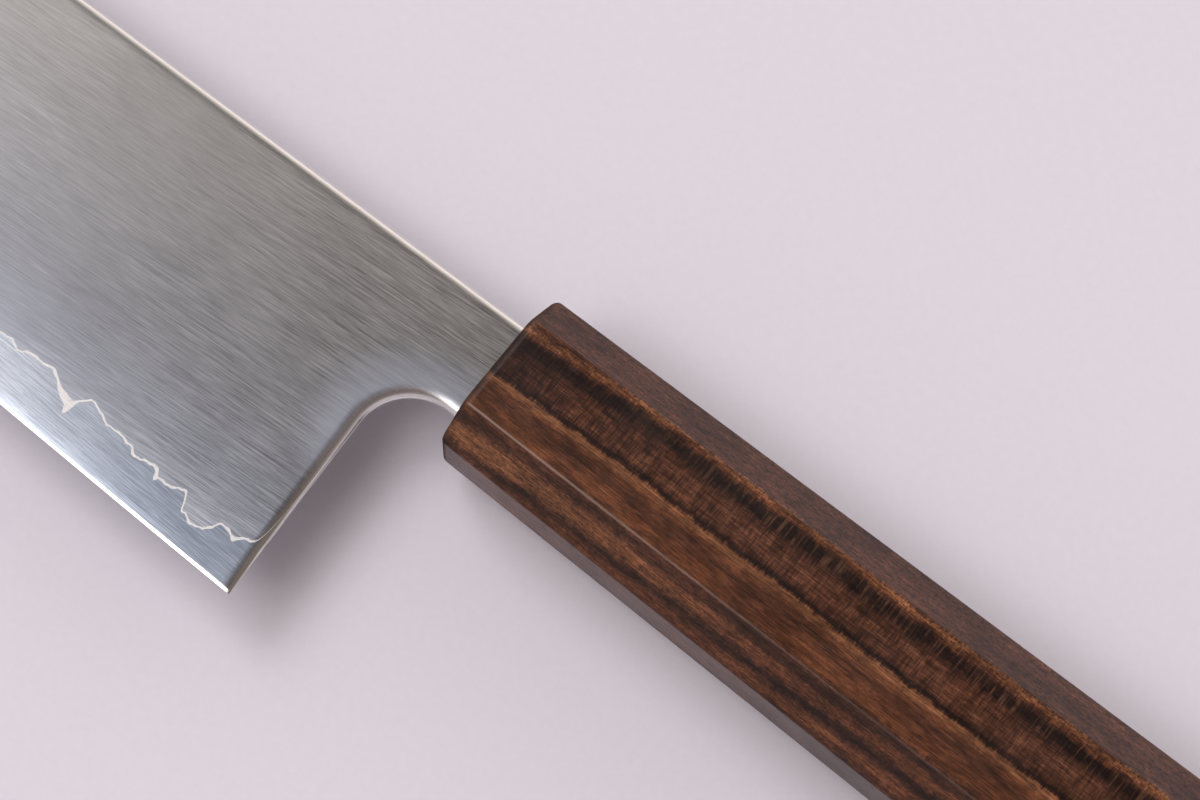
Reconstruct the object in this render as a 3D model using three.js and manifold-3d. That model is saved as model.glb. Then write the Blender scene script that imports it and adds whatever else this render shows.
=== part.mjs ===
// A laminated santoku knife with a one-piece octagonal handle, lying on the right side of its handle.
// Sizes are in millimetres. While the knife is built, x = 0 is the front of the handle and +x runs to the butt,
// y = 0 is the axis of the handle and +y runs to the spine, z = 0 is the middle of the blade, left face up.

import * as THREE from 'three';
import { mergeVertices } from 'three/addons/utils/BufferGeometryUtils.js';
import Module from 'manifold-3d';

const wasm = await Module();
wasm.setup();

const degrees = THREE.MathUtils.degToRad;

// Outline of the blade
const BLADE_LENGTH = 170; // heel corner to tip
const HEEL_HEIGHT = 48; // spine to edge, at the heel corner
const HEEL_GAP = 8.4; // front of the handle to the heel corner
const HEEL_LEAN = degrees(2.4); // lean of the heel's back edge toward the tip
const NECK_HEIGHT = 14.2; // where the blade enters the handle
const CHOIL_RADIUS = 7.3; // hollow between the neck and the heel
const SPINE_FALL = 0.0162; // fall of the spine for each millimetre toward the tip
const SPINE_STRAIGHT = 112; // straight spine ahead of the handle
const NOSE_EASE = 40; // how far the straight spine leads into the nose curve
const NOSE_PULL = 22; // how far the nose curve holds its angle above the tip
const NOSE_ANGLE = degrees(60); // slope of the nose at the tip
const TIP_RISE = 17.5; // tip above the heel corner
const EDGE_RISE = 0.0188; // rise of the edge for each millimetre ahead of the heel
const EDGE_EASE = 80; // how far the nearly flat edge leads into the belly
const BELLY_PULL = 28; // how far the belly holds its angle behind the tip
const BELLY_ANGLE = degrees(28); // slope of the edge at the tip

// Thickness and grind of the blade
const SPINE_THICKNESS = 2.1; // at the handle
const TIP_THICKNESS = 1.3; // that the full section thins to at the tip
const SHOULDER_THICKNESS = 0.24; // behind the sharpened bevel
const BEVEL_HEIGHT = 0.5; // sharpened bevel
const GRIND_HEIGHT = 50; // height at which the convex grind reaches the full thickness
const GRIND_POWER = 3; // fullness of the convex grind
const RIM_RADIUS = 0.9; // rounding of spine, choil and heel
const GRINDING_STOCK = 2; // steel below the edge that the grind takes off
const FACE_STOCK = 0.05; // steel on each face that the grind takes off

// Layers of the blade
const FOIL_THICKNESS = 0.028; // bright layer between core and cladding
const WELD_GAP = 0.005; // clearance between welded layers
// Crests and dips of the weld line near the heel, as distance ahead of the heel and height above the edge
const WELD_LINE = [
  [0, 6.6], [2.5, 6.5], [4.3, 5.5], [6.2, 5.9], [9.6, 3.7], [12.1, 6.2], [15.3, 5.3], [17.5, 6.2],
  [19.6, 5.6], [24, 6.3], [28.8, 7], [30.9, 5.8], [35.1, 7.3], [39.1, 6.4], [43, 6.6],
];

// Tang
const TANG_LENGTH = 95; // inside the handle
const TANG_STRAIGHT = 12; // full neck height inside the mouth
const TANG_END_HEIGHT = 6;

// Handle
const HANDLE_LENGTH = 132;
const FRONT_HEIGHT = 22.5;
const FRONT_THICKNESS = 18.4;
const FRONT_CHAMFER = 4.75; // leg of each octagon chamfer
const BUTT_HEIGHT = 26;
const BUTT_THICKNESS = 21.2;
const BUTT_CHAMFER = 5.5;
const ARRIS_EASE = 0.5; // eased corners of the octagon
const END_RADIUS = 0.9; // rounded rims of both ends

// Bedding of the tang
const FIT_GAP = 0.1; // bedding to tang and to handle
const BEDDING_WALL = 0.3;

// Fineness of the curves
const CURVE_STEPS = 24;
const RIM_STEPS = 3;
const EDGE_STATIONS = 28;
const FACE_STEPS = 10;

// How far a cutting body reaches past what it cuts
const CUT_MARGIN = 5;

// Join, cut and mesh helpers

function solidOf(geometry) {
  geometry.deleteAttribute('normal');
  geometry.deleteAttribute('uv');
  const merged = mergeVertices(geometry);
  return new wasm.Manifold(new wasm.Mesh({
    numProp: 3,
    vertProperties: merged.attributes.position.array,
    triVerts: new Uint32Array(merged.index.array),
  }));
}

function meshOf(name, solid, material) {
  const cut = solid.getMesh();
  const geometry = new THREE.BufferGeometry();
  geometry.setAttribute('position', new THREE.BufferAttribute(cut.vertProperties, 3));
  geometry.setIndex(new THREE.BufferAttribute(cut.triVerts, 1));
  geometry.computeVertexNormals();
  const mesh = new THREE.Mesh(geometry, new THREE.MeshStandardMaterial(material));
  mesh.name = name;
  return mesh;
}

// A closed body through rings of equal point counts that follow each other along +x
function loft(rings) {
  const count = rings[0].length;
  const last = (rings.length - 1) * count;
  const triangles = [];
  for (let ring = 0; ring < last; ring += count) {
    for (let i = 0; i < count; i += 1) {
      const a = ring + i;
      const b = ring + ((i + 1) % count);
      triangles.push(a, b, b + count, a, b + count, a + count);
    }
  }
  for (let i = 1; i + 1 < count; i += 1) {
    triangles.push(0, i + 1, i, last, last + i, last + i + 1);
  }
  const geometry = new THREE.BufferGeometry().setFromPoints(rings.flat());
  geometry.setIndex(triangles);
  return geometry;
}

// Outline of the blade, neck and tang

const spineY = (x) => NECK_HEIGHT / 2 + SPINE_FALL * Math.min(x, 0);
const heel = new THREE.Vector2(-HEEL_GAP, spineY(-HEEL_GAP) - HEEL_HEIGHT);
const tip = new THREE.Vector2(heel.x - BLADE_LENGTH, heel.y + TIP_RISE);
const bellyDirection = new THREE.Vector2(-Math.cos(BELLY_ANGLE), Math.sin(BELLY_ANGLE));
const flatEnd = new THREE.Vector2(heel.x - EDGE_EASE, heel.y + EDGE_RISE * EDGE_EASE);
const bellyStart = tip.clone().addScaledVector(bellyDirection, -BELLY_PULL);
const edge = new THREE.CubicBezierCurve(heel, flatEnd, bellyStart, tip);

function plateOutline() {
  const outline = new THREE.Shape();
  const neck = NECK_HEIGHT / 2;
  const end = TANG_END_HEIGHT / 2;
  const choilY = -neck - CHOIL_RADIUS;
  const leanAcross = (choilY - heel.y) * Math.sin(HEEL_LEAN);
  const choilX = heel.x + (CHOIL_RADIUS - leanAcross) / Math.cos(HEEL_LEAN);
  outline.moveTo(TANG_LENGTH - end, end);
  outline.lineTo(TANG_STRAIGHT, neck);
  outline.lineTo(0, neck);
  outline.lineTo(-SPINE_STRAIGHT, spineY(-SPINE_STRAIGHT));
  outline.bezierCurveTo(
    -SPINE_STRAIGHT - NOSE_EASE, spineY(-SPINE_STRAIGHT - NOSE_EASE),
    tip.x + NOSE_PULL * Math.cos(NOSE_ANGLE), tip.y + NOSE_PULL * Math.sin(NOSE_ANGLE),
    tip.x, tip.y,
  );
  outline.lineTo(tip.x - GRINDING_STOCK, tip.y - 2 * GRINDING_STOCK);
  outline.bezierCurveTo(
    bellyStart.x, bellyStart.y - GRINDING_STOCK,
    flatEnd.x, flatEnd.y - GRINDING_STOCK,
    heel.x + GRINDING_STOCK * Math.tan(HEEL_LEAN), heel.y - GRINDING_STOCK,
  );
  outline.absarc(choilX, choilY, CHOIL_RADIUS, Math.PI + HEEL_LEAN, Math.PI / 2, true);
  outline.lineTo(TANG_STRAIGHT, -neck);
  outline.lineTo(TANG_LENGTH - end, -end);
  outline.absarc(TANG_LENGTH - end, 0, end, -Math.PI / 2, Math.PI / 2, false);
  return outline;
}

// A plate of that outline with its rim rounded
function plate() {
  const half = SPINE_THICKNESS / 2 + FACE_STOCK;
  const straight = half - RIM_RADIUS;
  const geometry = new THREE.ExtrudeGeometry(plateOutline(), {
    depth: 2 * straight,
    bevelThickness: RIM_RADIUS,
    bevelSize: RIM_RADIUS,
    bevelOffset: -RIM_RADIUS,
    bevelSegments: RIM_STEPS,
    curveSegments: CURVE_STEPS,
  });
  return solidOf(geometry.translate(0, 0, -straight));
}

// Convex grind that follows the edge

function grindHalf(height) {
  const rise = Math.min(height, GRIND_HEIGHT) / GRIND_HEIGHT;
  const gain = (SPINE_THICKNESS - SHOULDER_THICKNESS) / 2;
  return SHOULDER_THICKNESS / 2 + gain * (1 - (1 - rise) ** GRIND_POWER);
}

function distalTaper(x) {
  const ahead = Math.max(heel.x - x, 0) / BLADE_LENGTH;
  return 1 - ahead * (1 - TIP_THICKNESS / SPINE_THICKNESS);
}

// The ground section at one place on the edge: the apex, then up the right face and down the left one
function grindRing(x, edgeY) {
  const heights = [GRIND_HEIGHT + HEEL_HEIGHT];
  for (let step = FACE_STEPS; step >= 0; step -= 1) {
    heights.unshift(BEVEL_HEIGHT + (GRIND_HEIGHT - BEVEL_HEIGHT) * (step / FACE_STEPS) ** 2);
  }
  const thin = distalTaper(x);
  const point = (height, side) => new THREE.Vector3(x, edgeY + height, side * thin * grindHalf(height));
  const rightFace = heights.map((height) => point(height, -1));
  const leftFace = heights.map((height) => point(height, 1)).reverse();
  return [new THREE.Vector3(x, edgeY, 0), ...rightFace, ...leftFace];
}

function grind() {
  const beyondTip = tip.clone().addScaledVector(bellyDirection, BELLY_PULL / 2);
  const onEdge = edge.getSpacedPoints(EDGE_STATIONS).reverse();
  const beyondTang = new THREE.Vector2(TANG_LENGTH + CUT_MARGIN, heel.y);
  const stations = [beyondTip, ...onEdge, beyondTang];
  return solidOf(loft(stations.map((place) => grindRing(place.x, place.y))));
}

// Layers: a hard core between two foils and two claddings, parted along the wavy weld

function weldPlaces() {
  const pattern = WELD_LINE[WELD_LINE.length - 1][0];
  const places = [{ x: TANG_LENGTH + CUT_MARGIN, height: WELD_LINE[0][1] }];
  for (let start = 0; start < BLADE_LENGTH + pattern; start += pattern) {
    WELD_LINE.slice(0, -1).forEach(([ahead, height]) => {
      places.push({ x: heel.x - start - ahead, height });
    });
  }
  return places.map(({ x, height }) => ({ x, half: grindHalf(height) * distalTaper(x) }));
}

// The space between two surfaces that lie the given distances outside the core, on one side of the blade
function layerSpace(innerOffset, outerOffset, side) {
  const places = weldPlaces();
  const outer = places.map(({ x, half }) => new THREE.Vector2(x, side * (half + outerOffset)));
  const inner = places.map(({ x, half }) => new THREE.Vector2(x, side * (half + innerOffset)));
  return wall([...outer, ...inner.reverse()]);
}

function coreSpace() {
  const places = weldPlaces();
  const left = places.map(({ x, half }) => new THREE.Vector2(x, half));
  const right = places.map(({ x, half }) => new THREE.Vector2(x, -half));
  return wall([...left, ...right.reverse()]);
}

// An outline in x and z carried through the whole height of the blade
function wall(points) {
  const depth = 4 * HEEL_HEIGHT;
  const geometry = new THREE.ExtrudeGeometry(new THREE.Shape(points), { depth, bevelEnabled: false });
  return solidOf(geometry.rotateX(Math.PI / 2).translate(0, depth / 2, 0));
}

const blade = plate().intersect(grind());
const foilInside = WELD_GAP;
const foilOutside = foilInside + FOIL_THICKNESS;
const claddingInside = foilOutside + WELD_GAP;
const foil = (side) => blade.intersect(layerSpace(foilInside, foilOutside, side));
const cladding = (side) => blade.intersect(layerSpace(claddingInside, SPINE_THICKNESS, side));

// Handle: a tapered octagon with eased corners and rounded ends

function octagonRing(x, inset) {
  const share = x / HANDLE_LENGTH;
  const between = THREE.MathUtils.lerp;
  const height = between(FRONT_HEIGHT, BUTT_HEIGHT, share) / 2 - inset;
  const thickness = between(FRONT_THICKNESS, BUTT_THICKNESS, share) / 2 - inset;
  const chamfer = between(FRONT_CHAMFER, BUTT_CHAMFER, share) - inset * (2 - Math.SQRT2);
  const corners = [
    [height, chamfer - thickness], [height, thickness - chamfer],
    [height - chamfer, thickness], [chamfer - height, thickness],
    [-height, thickness - chamfer], [-height, chamfer - thickness],
    [chamfer - height, -thickness], [height - chamfer, -thickness],
  ].map(([y, z]) => new THREE.Vector3(x, y, z));
  return corners.flatMap((corner, i) => {
    const before = corners[(i + 7) % 8].clone().sub(corner).setLength(ARRIS_EASE).add(corner);
    const after = corners[(i + 1) % 8].clone().sub(corner).setLength(ARRIS_EASE).add(corner);
    return new THREE.QuadraticBezierCurve3(before, corner, after).getPoints(2);
  });
}

function handleBlank() {
  const front = [];
  const butt = [];
  for (let step = 0; step <= RIM_STEPS; step += 1) {
    const turn = (step / RIM_STEPS) * (Math.PI / 2);
    const back = END_RADIUS * (1 - Math.sin(turn));
    const inset = END_RADIUS * (1 - Math.cos(turn));
    front.unshift(octagonRing(back, inset));
    butt.push(octagonRing(HANDLE_LENGTH - back, inset));
  }
  return solidOf(loft([...front, ...butt]));
}

// The tang's outline grown on every side, from a start on the axis to the rounded end
function tangSpace(startX, grow) {
  const neck = NECK_HEIGHT / 2 + grow;
  const end = TANG_END_HEIGHT / 2 + grow;
  const centre = TANG_LENGTH - TANG_END_HEIGHT / 2;
  const thickness = SPINE_THICKNESS + 2 * grow;
  const outline = new THREE.Shape();
  outline.moveTo(startX, -neck);
  outline.lineTo(TANG_STRAIGHT, -neck);
  outline.lineTo(centre, -end);
  outline.absarc(centre, 0, end, -Math.PI / 2, Math.PI / 2, false);
  outline.lineTo(TANG_STRAIGHT, neck);
  outline.lineTo(startX, neck);
  const geometry = new THREE.ExtrudeGeometry(outline, {
    depth: thickness,
    bevelEnabled: false,
    curveSegments: CURVE_STEPS / 2,
  });
  return solidOf(geometry.translate(0, 0, -thickness / 2));
}

const bedInside = FIT_GAP;
const bedOutside = bedInside + BEDDING_WALL;
const socketOutside = bedOutside + FIT_GAP;
const handle = handleBlank().subtract(tangSpace(-CUT_MARGIN, socketOutside));
const bedding = tangSpace(FIT_GAP, bedOutside).subtract(tangSpace(-CUT_MARGIN, bedInside));

// Finishes
const claddingSteel = { color: 0x9b9b9b, roughness: 0.34, metalness: 1 };
const coreSteel = { color: 0xa9aeb6, roughness: 0.26, metalness: 1 };
const foilMetal = { color: 0xe6e0d3, roughness: 0.3, metalness: 1 };
const darkWood = { color: 0x4c2f22, roughness: 0.42, metalness: 0 };
const darkResin = { color: 0x2b211c, roughness: 0.5, metalness: 0 };

const knife = new THREE.Group();
knife.add(
  meshOf('core_steel', blade.intersect(coreSpace()), coreSteel),
  meshOf('left_bond_foil', foil(1), foilMetal),
  meshOf('right_bond_foil', foil(-1), foilMetal),
  meshOf('left_cladding', cladding(1), claddingSteel),
  meshOf('right_cladding', cladding(-1), claddingSteel),
  meshOf('handle_body', handle, darkWood),
  meshOf('tang_bedding', bedding, darkResin),
);

// Lay the knife on the right facet of the tapered handle, with the origin under the middle of its box
knife.rotation.y = -Math.atan((BUTT_THICKNESS - FRONT_THICKNESS) / 2 / HANDLE_LENGTH);
const box = new THREE.Box3().setFromObject(knife, true);
const middle = box.getCenter(new THREE.Vector3());
knife.position.set(-middle.x, -middle.y, -box.min.z);

export default knife;
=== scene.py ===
# %% [markdown]
# # A santoku knife with a laminated blade
#
# This lesson dresses a packed knife in Blender. The imported solids give the frame: where the blade, its
# layers and the handle lie. Every surface that shows is then worked out again, finely, from a few sizes
# and formulas, and gets its own finish. The script starts by loading the frame.

# %% Load the frame
import math

import bmesh
import bpy
import numpy as np
from mathutils import Matrix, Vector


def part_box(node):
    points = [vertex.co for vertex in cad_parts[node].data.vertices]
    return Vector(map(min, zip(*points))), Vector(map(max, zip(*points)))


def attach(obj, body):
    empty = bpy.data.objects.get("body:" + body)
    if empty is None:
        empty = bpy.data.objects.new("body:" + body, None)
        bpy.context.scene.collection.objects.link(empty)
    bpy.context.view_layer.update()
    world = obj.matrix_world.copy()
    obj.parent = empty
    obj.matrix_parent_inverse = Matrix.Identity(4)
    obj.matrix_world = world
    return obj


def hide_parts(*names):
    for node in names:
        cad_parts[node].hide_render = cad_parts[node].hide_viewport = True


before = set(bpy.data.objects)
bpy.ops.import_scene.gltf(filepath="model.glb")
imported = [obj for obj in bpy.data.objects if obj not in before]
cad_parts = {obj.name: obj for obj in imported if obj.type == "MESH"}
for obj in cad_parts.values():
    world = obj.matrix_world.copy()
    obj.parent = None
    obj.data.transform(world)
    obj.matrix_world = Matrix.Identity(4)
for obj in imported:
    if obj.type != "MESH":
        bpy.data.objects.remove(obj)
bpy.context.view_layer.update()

print("frame holds", sorted(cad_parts))

# %% [markdown]
# ## The knife's own drawing board
#
# A knife is easiest to draw flat: x = 0 at the front of the handle and growing to the butt, y = 0 on the
# handle's axis and growing to the spine, z = 0 in the middle of the blade, all in millimetres. On the
# table the knife lies on the right side of its tapered handle, so the drawing is tilted a little about y,
# moved, and turned into metres. One function does that for every point that follows.

# %% From the drawing board to the table
HANDLE_LENGTH = 132.0
FRONT_HEIGHT, FRONT_THICKNESS, FRONT_CHAMFER = 22.5, 18.4, 4.75
BUTT_HEIGHT, BUTT_THICKNESS, BUTT_CHAMFER = 26.0, 21.2, 5.5
BLADE_LENGTH = 170.0
HEEL_GAP = 8.4
MM = 0.001

lay_angle = math.atan((BUTT_THICKNESS - FRONT_THICKNESS) / 2 / HANDLE_LENGTH)
core_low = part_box("core_steel")[0]
handle_low, handle_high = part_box("handle_body")
tilt = np.array(Matrix.Rotation(-lay_angle, 3, "Y"))
board_origin = np.array([
    core_low.x + (HEEL_GAP + BLADE_LENGTH) * math.cos(lay_angle) * MM,
    (handle_low.y + handle_high.y) / 2,
    FRONT_THICKNESS / 2 * math.cos(lay_angle) * MM,
])


def on_table(points):
    """Turns drawing-board points (mm) by the tilt, moves them by the origin, and gives metres."""
    return np.asarray(points, float) @ tilt.T * MM + board_origin


def on_board(points):
    """The way back: table points in metres become drawing-board points in mm."""
    return (np.asarray(points, float) - board_origin) / MM @ tilt


print("handle front lies at", board_origin.round(5), "m")

# %% [markdown]
# ## The camera
#
# The picture looks down on the left face, from the side of the edge and a little from the butt, through a
# long lens. A camera fitted to straight edges of blade and handle gave these angles. They belong to the
# drawing board, so the camera's axes are turned by the same tilt as the knife.

# %% Camera at the picture's viewing angle
VIEW_AZIMUTH = math.radians(33.734)
VIEW_ELEVATION = math.radians(75.287)
VIEW_ROLL = math.radians(4.726)
VIEW_TARGET = (11.468, 5.639, 0.0)
VIEW_DISTANCE = 486.822
LENS = 120.0

back = np.array([
    math.sin(VIEW_AZIMUTH) * math.cos(VIEW_ELEVATION),
    -math.cos(VIEW_AZIMUTH) * math.cos(VIEW_ELEVATION),
    math.sin(VIEW_ELEVATION),
])
level_right = np.cross(-back, (0, 0, 1))
level_right /= np.linalg.norm(level_right)
level_up = np.cross(level_right, -back)
right = math.cos(VIEW_ROLL) * level_right + math.sin(VIEW_ROLL) * level_up
up = math.cos(VIEW_ROLL) * level_up - math.sin(VIEW_ROLL) * level_right

camera_data = bpy.data.cameras.new("camera")
camera_data.lens = LENS
camera = bpy.data.objects.new("camera", camera_data)
bpy.context.scene.collection.objects.link(camera)
camera_axes = np.identity(4)
camera_axes[:3, :3] = tilt @ np.column_stack([right, up, back])
camera_axes[:3, 3] = on_table(np.array(VIEW_TARGET) + VIEW_DISTANCE * back)
camera.matrix_world = Matrix(camera_axes.tolist())
bpy.context.scene.camera = camera
print("camera at", camera_axes[:3, 3].round(4))

# %% [markdown]
# ## Outline of the blade
#
# The maker draws the profile with few strokes: a straight spine that falls a little toward the tip, a nose
# that drops to the tip, a long flat edge that rises into a belly, a heel whose back edge leans forward,
# and a round hollow, the choil, under the neck. The nose and the edge are cubic Bezier curves and the
# choil is an arc. The neck goes on into the handle as the tang.

# %% Curves of the outline
HEEL_HEIGHT = 48.0
HEEL_LEAN = math.radians(2.4)
NECK_HEIGHT = 14.2
CHOIL_RADIUS = 7.3
SPINE_FALL, SPINE_STRAIGHT = 0.0162, 112.0
NOSE_EASE, NOSE_PULL, NOSE_ANGLE = 40.0, 22.0, math.radians(60)
TIP_RISE = 17.5
EDGE_RISE, EDGE_EASE = 0.0188, 80.0
BELLY_PULL, BELLY_ANGLE = 28.0, math.radians(28)
TANG_LENGTH, TANG_STRAIGHT, TANG_END_HEIGHT = 95.0, 12.0, 6.0
CURVE_STEPS = 160

neck = NECK_HEIGHT / 2
tang_end = TANG_END_HEIGHT / 2


def direction(angle):
    """The flat unit vector at an angle from +x."""
    return np.array([math.cos(angle), math.sin(angle)])


def spine_y(x):
    """Height of the straight spine: level over the tang, falling steadily toward the tip."""
    return neck + SPINE_FALL * np.minimum(x, 0)


def bezier(a, b, c, d):
    """Cubic Bezier: the four points weighted by (1-t)^3, 3(1-t)^2 t, 3(1-t) t^2 and t^3."""
    t = np.linspace(0, 1, CURVE_STEPS)[:, None]
    a, b, c, d = (np.asarray(p, float) for p in (a, b, c, d))
    return (1 - t) ** 3 * a + 3 * (1 - t) ** 2 * t * b + 3 * (1 - t) * t ** 2 * c + t ** 3 * d


def arc(centre, radius, start, end):
    """Points on a circle, from one angle to another."""
    turn = np.linspace(start, end, CURVE_STEPS // 4)
    return np.asarray(centre) + radius * np.column_stack([np.cos(turn), np.sin(turn)])


heel = np.array([-HEEL_GAP, spine_y(-HEEL_GAP) - HEEL_HEIGHT])
tip = heel + (-BLADE_LENGTH, TIP_RISE)
spine_end = np.array([-SPINE_STRAIGHT, spine_y(-SPINE_STRAIGHT)])
nose_lead = np.array([-SPINE_STRAIGHT - NOSE_EASE, spine_y(-SPINE_STRAIGHT - NOSE_EASE)])
edge_lead = heel + (-EDGE_EASE, EDGE_RISE * EDGE_EASE)
belly_lead = tip - BELLY_PULL * np.array([-math.cos(BELLY_ANGLE), math.sin(BELLY_ANGLE)])
edge = bezier(tip, belly_lead, edge_lead, heel)
nose = bezier(tip, tip + NOSE_PULL * direction(NOSE_ANGLE), nose_lead, spine_end)

choil_y = -neck - CHOIL_RADIUS
choil_x = heel[0] + (CHOIL_RADIUS - (choil_y - heel[1]) * math.sin(HEEL_LEAN)) / math.cos(HEEL_LEAN)
choil = arc((choil_x, choil_y), CHOIL_RADIUS, math.pi + HEEL_LEAN, math.pi / 2)
tang_round = TANG_LENGTH - tang_end
upper_end = arc((tang_round, 0), tang_end, math.pi / 2, 0)
lower_end = arc((tang_round, 0), tang_end, -math.pi / 2, 0)

upper_rim = np.vstack([nose, [(0, neck), (TANG_STRAIGHT, neck)], upper_end])
lower_rim = np.vstack([heel[None], choil, [(TANG_STRAIGHT, -neck)], lower_end])
print("tip at", tip.round(2), "heel at", heel.round(2), "mm on the drawing board")

# %% [markdown]
# ## Walking along a curve
#
# Layers, rims and grids all need points at chosen distances along an outline, and the direction that
# points into the steel there. A curve is kept as a row of points; its running length is a cumulative sum,
# and numpy interpolates between the points.

# %% Places along a path
NORMAL_STEP = 0.05


def running_length(path):
    """Length from the start of a path to each of its points."""
    return np.concatenate([[0], np.cumsum(np.linalg.norm(np.diff(path, axis=0), axis=1))])


def along(path, lengths):
    """Points of a path at the given lengths from its start."""
    run = running_length(path)
    return np.column_stack([np.interp(lengths, run, path[:, k]) for k in (0, 1)])


def inward(path, lengths, side):
    """Unit normal of a path at the given lengths: side 1 is to the left of the walk, -1 to the right."""
    ahead = along(path, np.minimum(lengths + NORMAL_STEP, running_length(path)[-1]))
    behind = along(path, np.maximum(lengths - NORMAL_STEP, 0))
    way = ahead - behind
    way /= np.linalg.norm(way, axis=1)[:, None]
    return side * np.column_stack([-way[:, 1], way[:, 0]])


def length_at(path, x):
    """Length from the start of a path, which runs toward +x, to the place with this x."""
    return np.interp(x, path[:, 0], running_length(path))


def edge_y(x):
    """Height of the cutting edge, carried on level behind the heel."""
    return np.interp(x, edge[:, 0], edge[:, 1])


print("the edge is", running_length(edge)[-1].round(1), "mm long")

# %% [markdown]
# ## Thickness of the blade
#
# The blade is ground convex: thin behind the edge, fuller up to the spine, and the whole section thins
# toward the tip. A short sharpened bevel closes it at the edge, and ahead of the heel a stone took off a
# little more just behind that bevel. Spine, choil and heel are rounded over and buffed, so the face rolls
# off in a soft ellipse near those rims. One function gives half the thickness anywhere on the face, so
# every layer that shows is cut from the same smooth skin.

# %% Half thickness anywhere on the face
SPINE_THICKNESS, TIP_THICKNESS, SHOULDER_THICKNESS = 2.1, 1.3, 0.24
BEVEL_HEIGHT = 0.4
SHOULDER_EASE, EASE_HEIGHT, EASE_LENGTH = 0.065, 0.7, 26.0
GRIND_HEIGHT, GRIND_POWER = 50.0, 3
SPINE_ROLL = 1.6
HEEL_ROLL = 1.6
ROLL_POWER = 2.0
CHUNK = 4000


def grind_half(height, ease=1.0):
    """Half thickness of the convex grind: shoulder plus a gain that fills as 1 - (1 - height share) cubed,
    less what was stoned off behind the bevel, which fades away with height as an exponential."""
    rise = np.clip(height, 0, GRIND_HEIGHT) / GRIND_HEIGHT
    gain = (SPINE_THICKNESS - SHOULDER_THICKNESS) / 2
    face = SHOULDER_THICKNESS / 2 + gain * (1 - (1 - rise) ** GRIND_POWER)
    stoned = ease * SHOULDER_EASE * np.exp(-np.maximum(height - BEVEL_HEIGHT, 0) / EASE_HEIGHT)
    bevel = np.clip(height / BEVEL_HEIGHT, 0, 1)
    return (face - stoned) * bevel


def distal_taper(x):
    """Share of the full section that is left at x: it thins evenly from the heel to the tip."""
    ahead = np.clip((heel[0] - x) / BLADE_LENGTH, 0, 1)
    return 1 - ahead * (1 - TIP_THICKNESS / SPINE_THICKNESS)


def full_half(xy):
    """Half thickness before the rims are rounded; the stoning starts at the heel and grows ahead of it."""
    x, y = xy[..., 0], xy[..., 1]
    ease = np.clip((heel[0] - x) / EASE_LENGTH, 0, 1)
    return grind_half(y - edge_y(x), ease) * distal_taper(x)


rim_starts = np.vstack([upper_rim[:-1], lower_rim[:-1]])
rim_ends = np.vstack([upper_rim[1:], lower_rim[1:]])
rim_rolls = np.repeat([SPINE_ROLL, HEEL_ROLL], [len(upper_rim) - 1, len(lower_rim) - 1])


def rim_share(xy):
    """Distance to the nearest rim, as a share of the width over which that rim is rolled off."""
    flat = xy.reshape(-1, 2)
    share = np.empty(len(flat))
    run = rim_ends - rim_starts
    square = (run ** 2).sum(1)
    for first in range(0, len(flat), CHUNK):
        part = flat[first:first + CHUNK, None] - rim_starts
        along_run = np.clip((part * run).sum(2) / square, 0, 1)
        gap = np.linalg.norm(part - along_run[..., None] * run, axis=2)
        share[first:first + CHUNK] = (gap / rim_rolls).min(1)
    return share.reshape(xy.shape[:-1])


def roll_off(share):
    """Ellipse-like rounding: 0 on the rim, 1 a roll's width inside it."""
    return (1 - (1 - np.clip(share, 0, 1)) ** ROLL_POWER) ** (1 / ROLL_POWER)


def roll_share(thickness_share):
    """The way back: how far inside the rim the rounding reaches a share of the thickness."""
    return 1 - (1 - np.clip(thickness_share, 0, 1) ** ROLL_POWER) ** (1 / ROLL_POWER)


def skin(xy):
    """Half thickness of the finished blade: the grind times the roll-off at its rims."""
    return full_half(xy) * roll_off(rim_share(xy))


print("half thickness mid blade", skin(np.array([[-60.0, -10.0]])).round(3), "mm")

# %% [markdown]
# ## The weld line
#
# Core and cladding are forge welded through a thin bright layer. Grinding the face at a shallow angle
# opens that layer as a wavy line above the edge: where the steel sheets bulge, the line climbs or dips,
# with ragged little teeth and a few torn spurs. Two curves bound it, one against the core and one against
# the cladding. Its crests and dips near the heel are listed and go on along the blade. Seeded noise
# gives the teeth, the changes of width and a slow drift farther ahead; each is a pair of spacing and size.

# %% Lower and upper border of the bright layer
WELD_LINE = np.array([
    (0, 6.5), (2.5, 6.5), (3.9, 5.6), (5.4, 6.0), (6.4, 5.7), (7.0, 4.8), (8.0, 4.1), (9.3, 3.7),
    (10.3, 4.15), (11.1, 4.6), (11.5, 5.4), (11.9, 6.15), (12.6, 6.2), (13.5, 5.7), (15.0, 5.4),
    (16.0, 5.5), (16.5, 6.05), (17.4, 6.3), (18.4, 5.9), (19.6, 5.6), (20.6, 6.05), (22.3, 6.45),
    (25.0, 6.45), (26.2, 7.0), (28.6, 7.15), (29.6, 6.2), (32.2, 6.3), (34.7, 7.4), (36.0, 7.2),
    (37.6, 7.2), (39.2, 6.4), (40.8, 7.1), (43.0, 6.5),
])
SPURS = [(3.9, 0.3, 0.5), (16.1, 0.6, 0.4), (17.2, 0.15, 0.9), (29.9, 1.3, 0.6), (31.0, 0.75, 1.7)]
SPUR_FLANK = 1.5
LINE_HALF_WIDTH = 0.135
THINNEST_HALF = 0.085
HEEL_CALM = 2.0
SLOPE_STEP = 0.06
FINE_TEETH, COARSE_TEETH, SLOW_DRIFT = (0.42, 0.085), (1.1, 0.06), (7.0, 0.5)
LOWER_CHANGE, UPPER_CHANGE = (0.4, 0.055), (0.4, 0.05)
LINE_SEED = 7

draw = np.random.default_rng(LINE_SEED)


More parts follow.
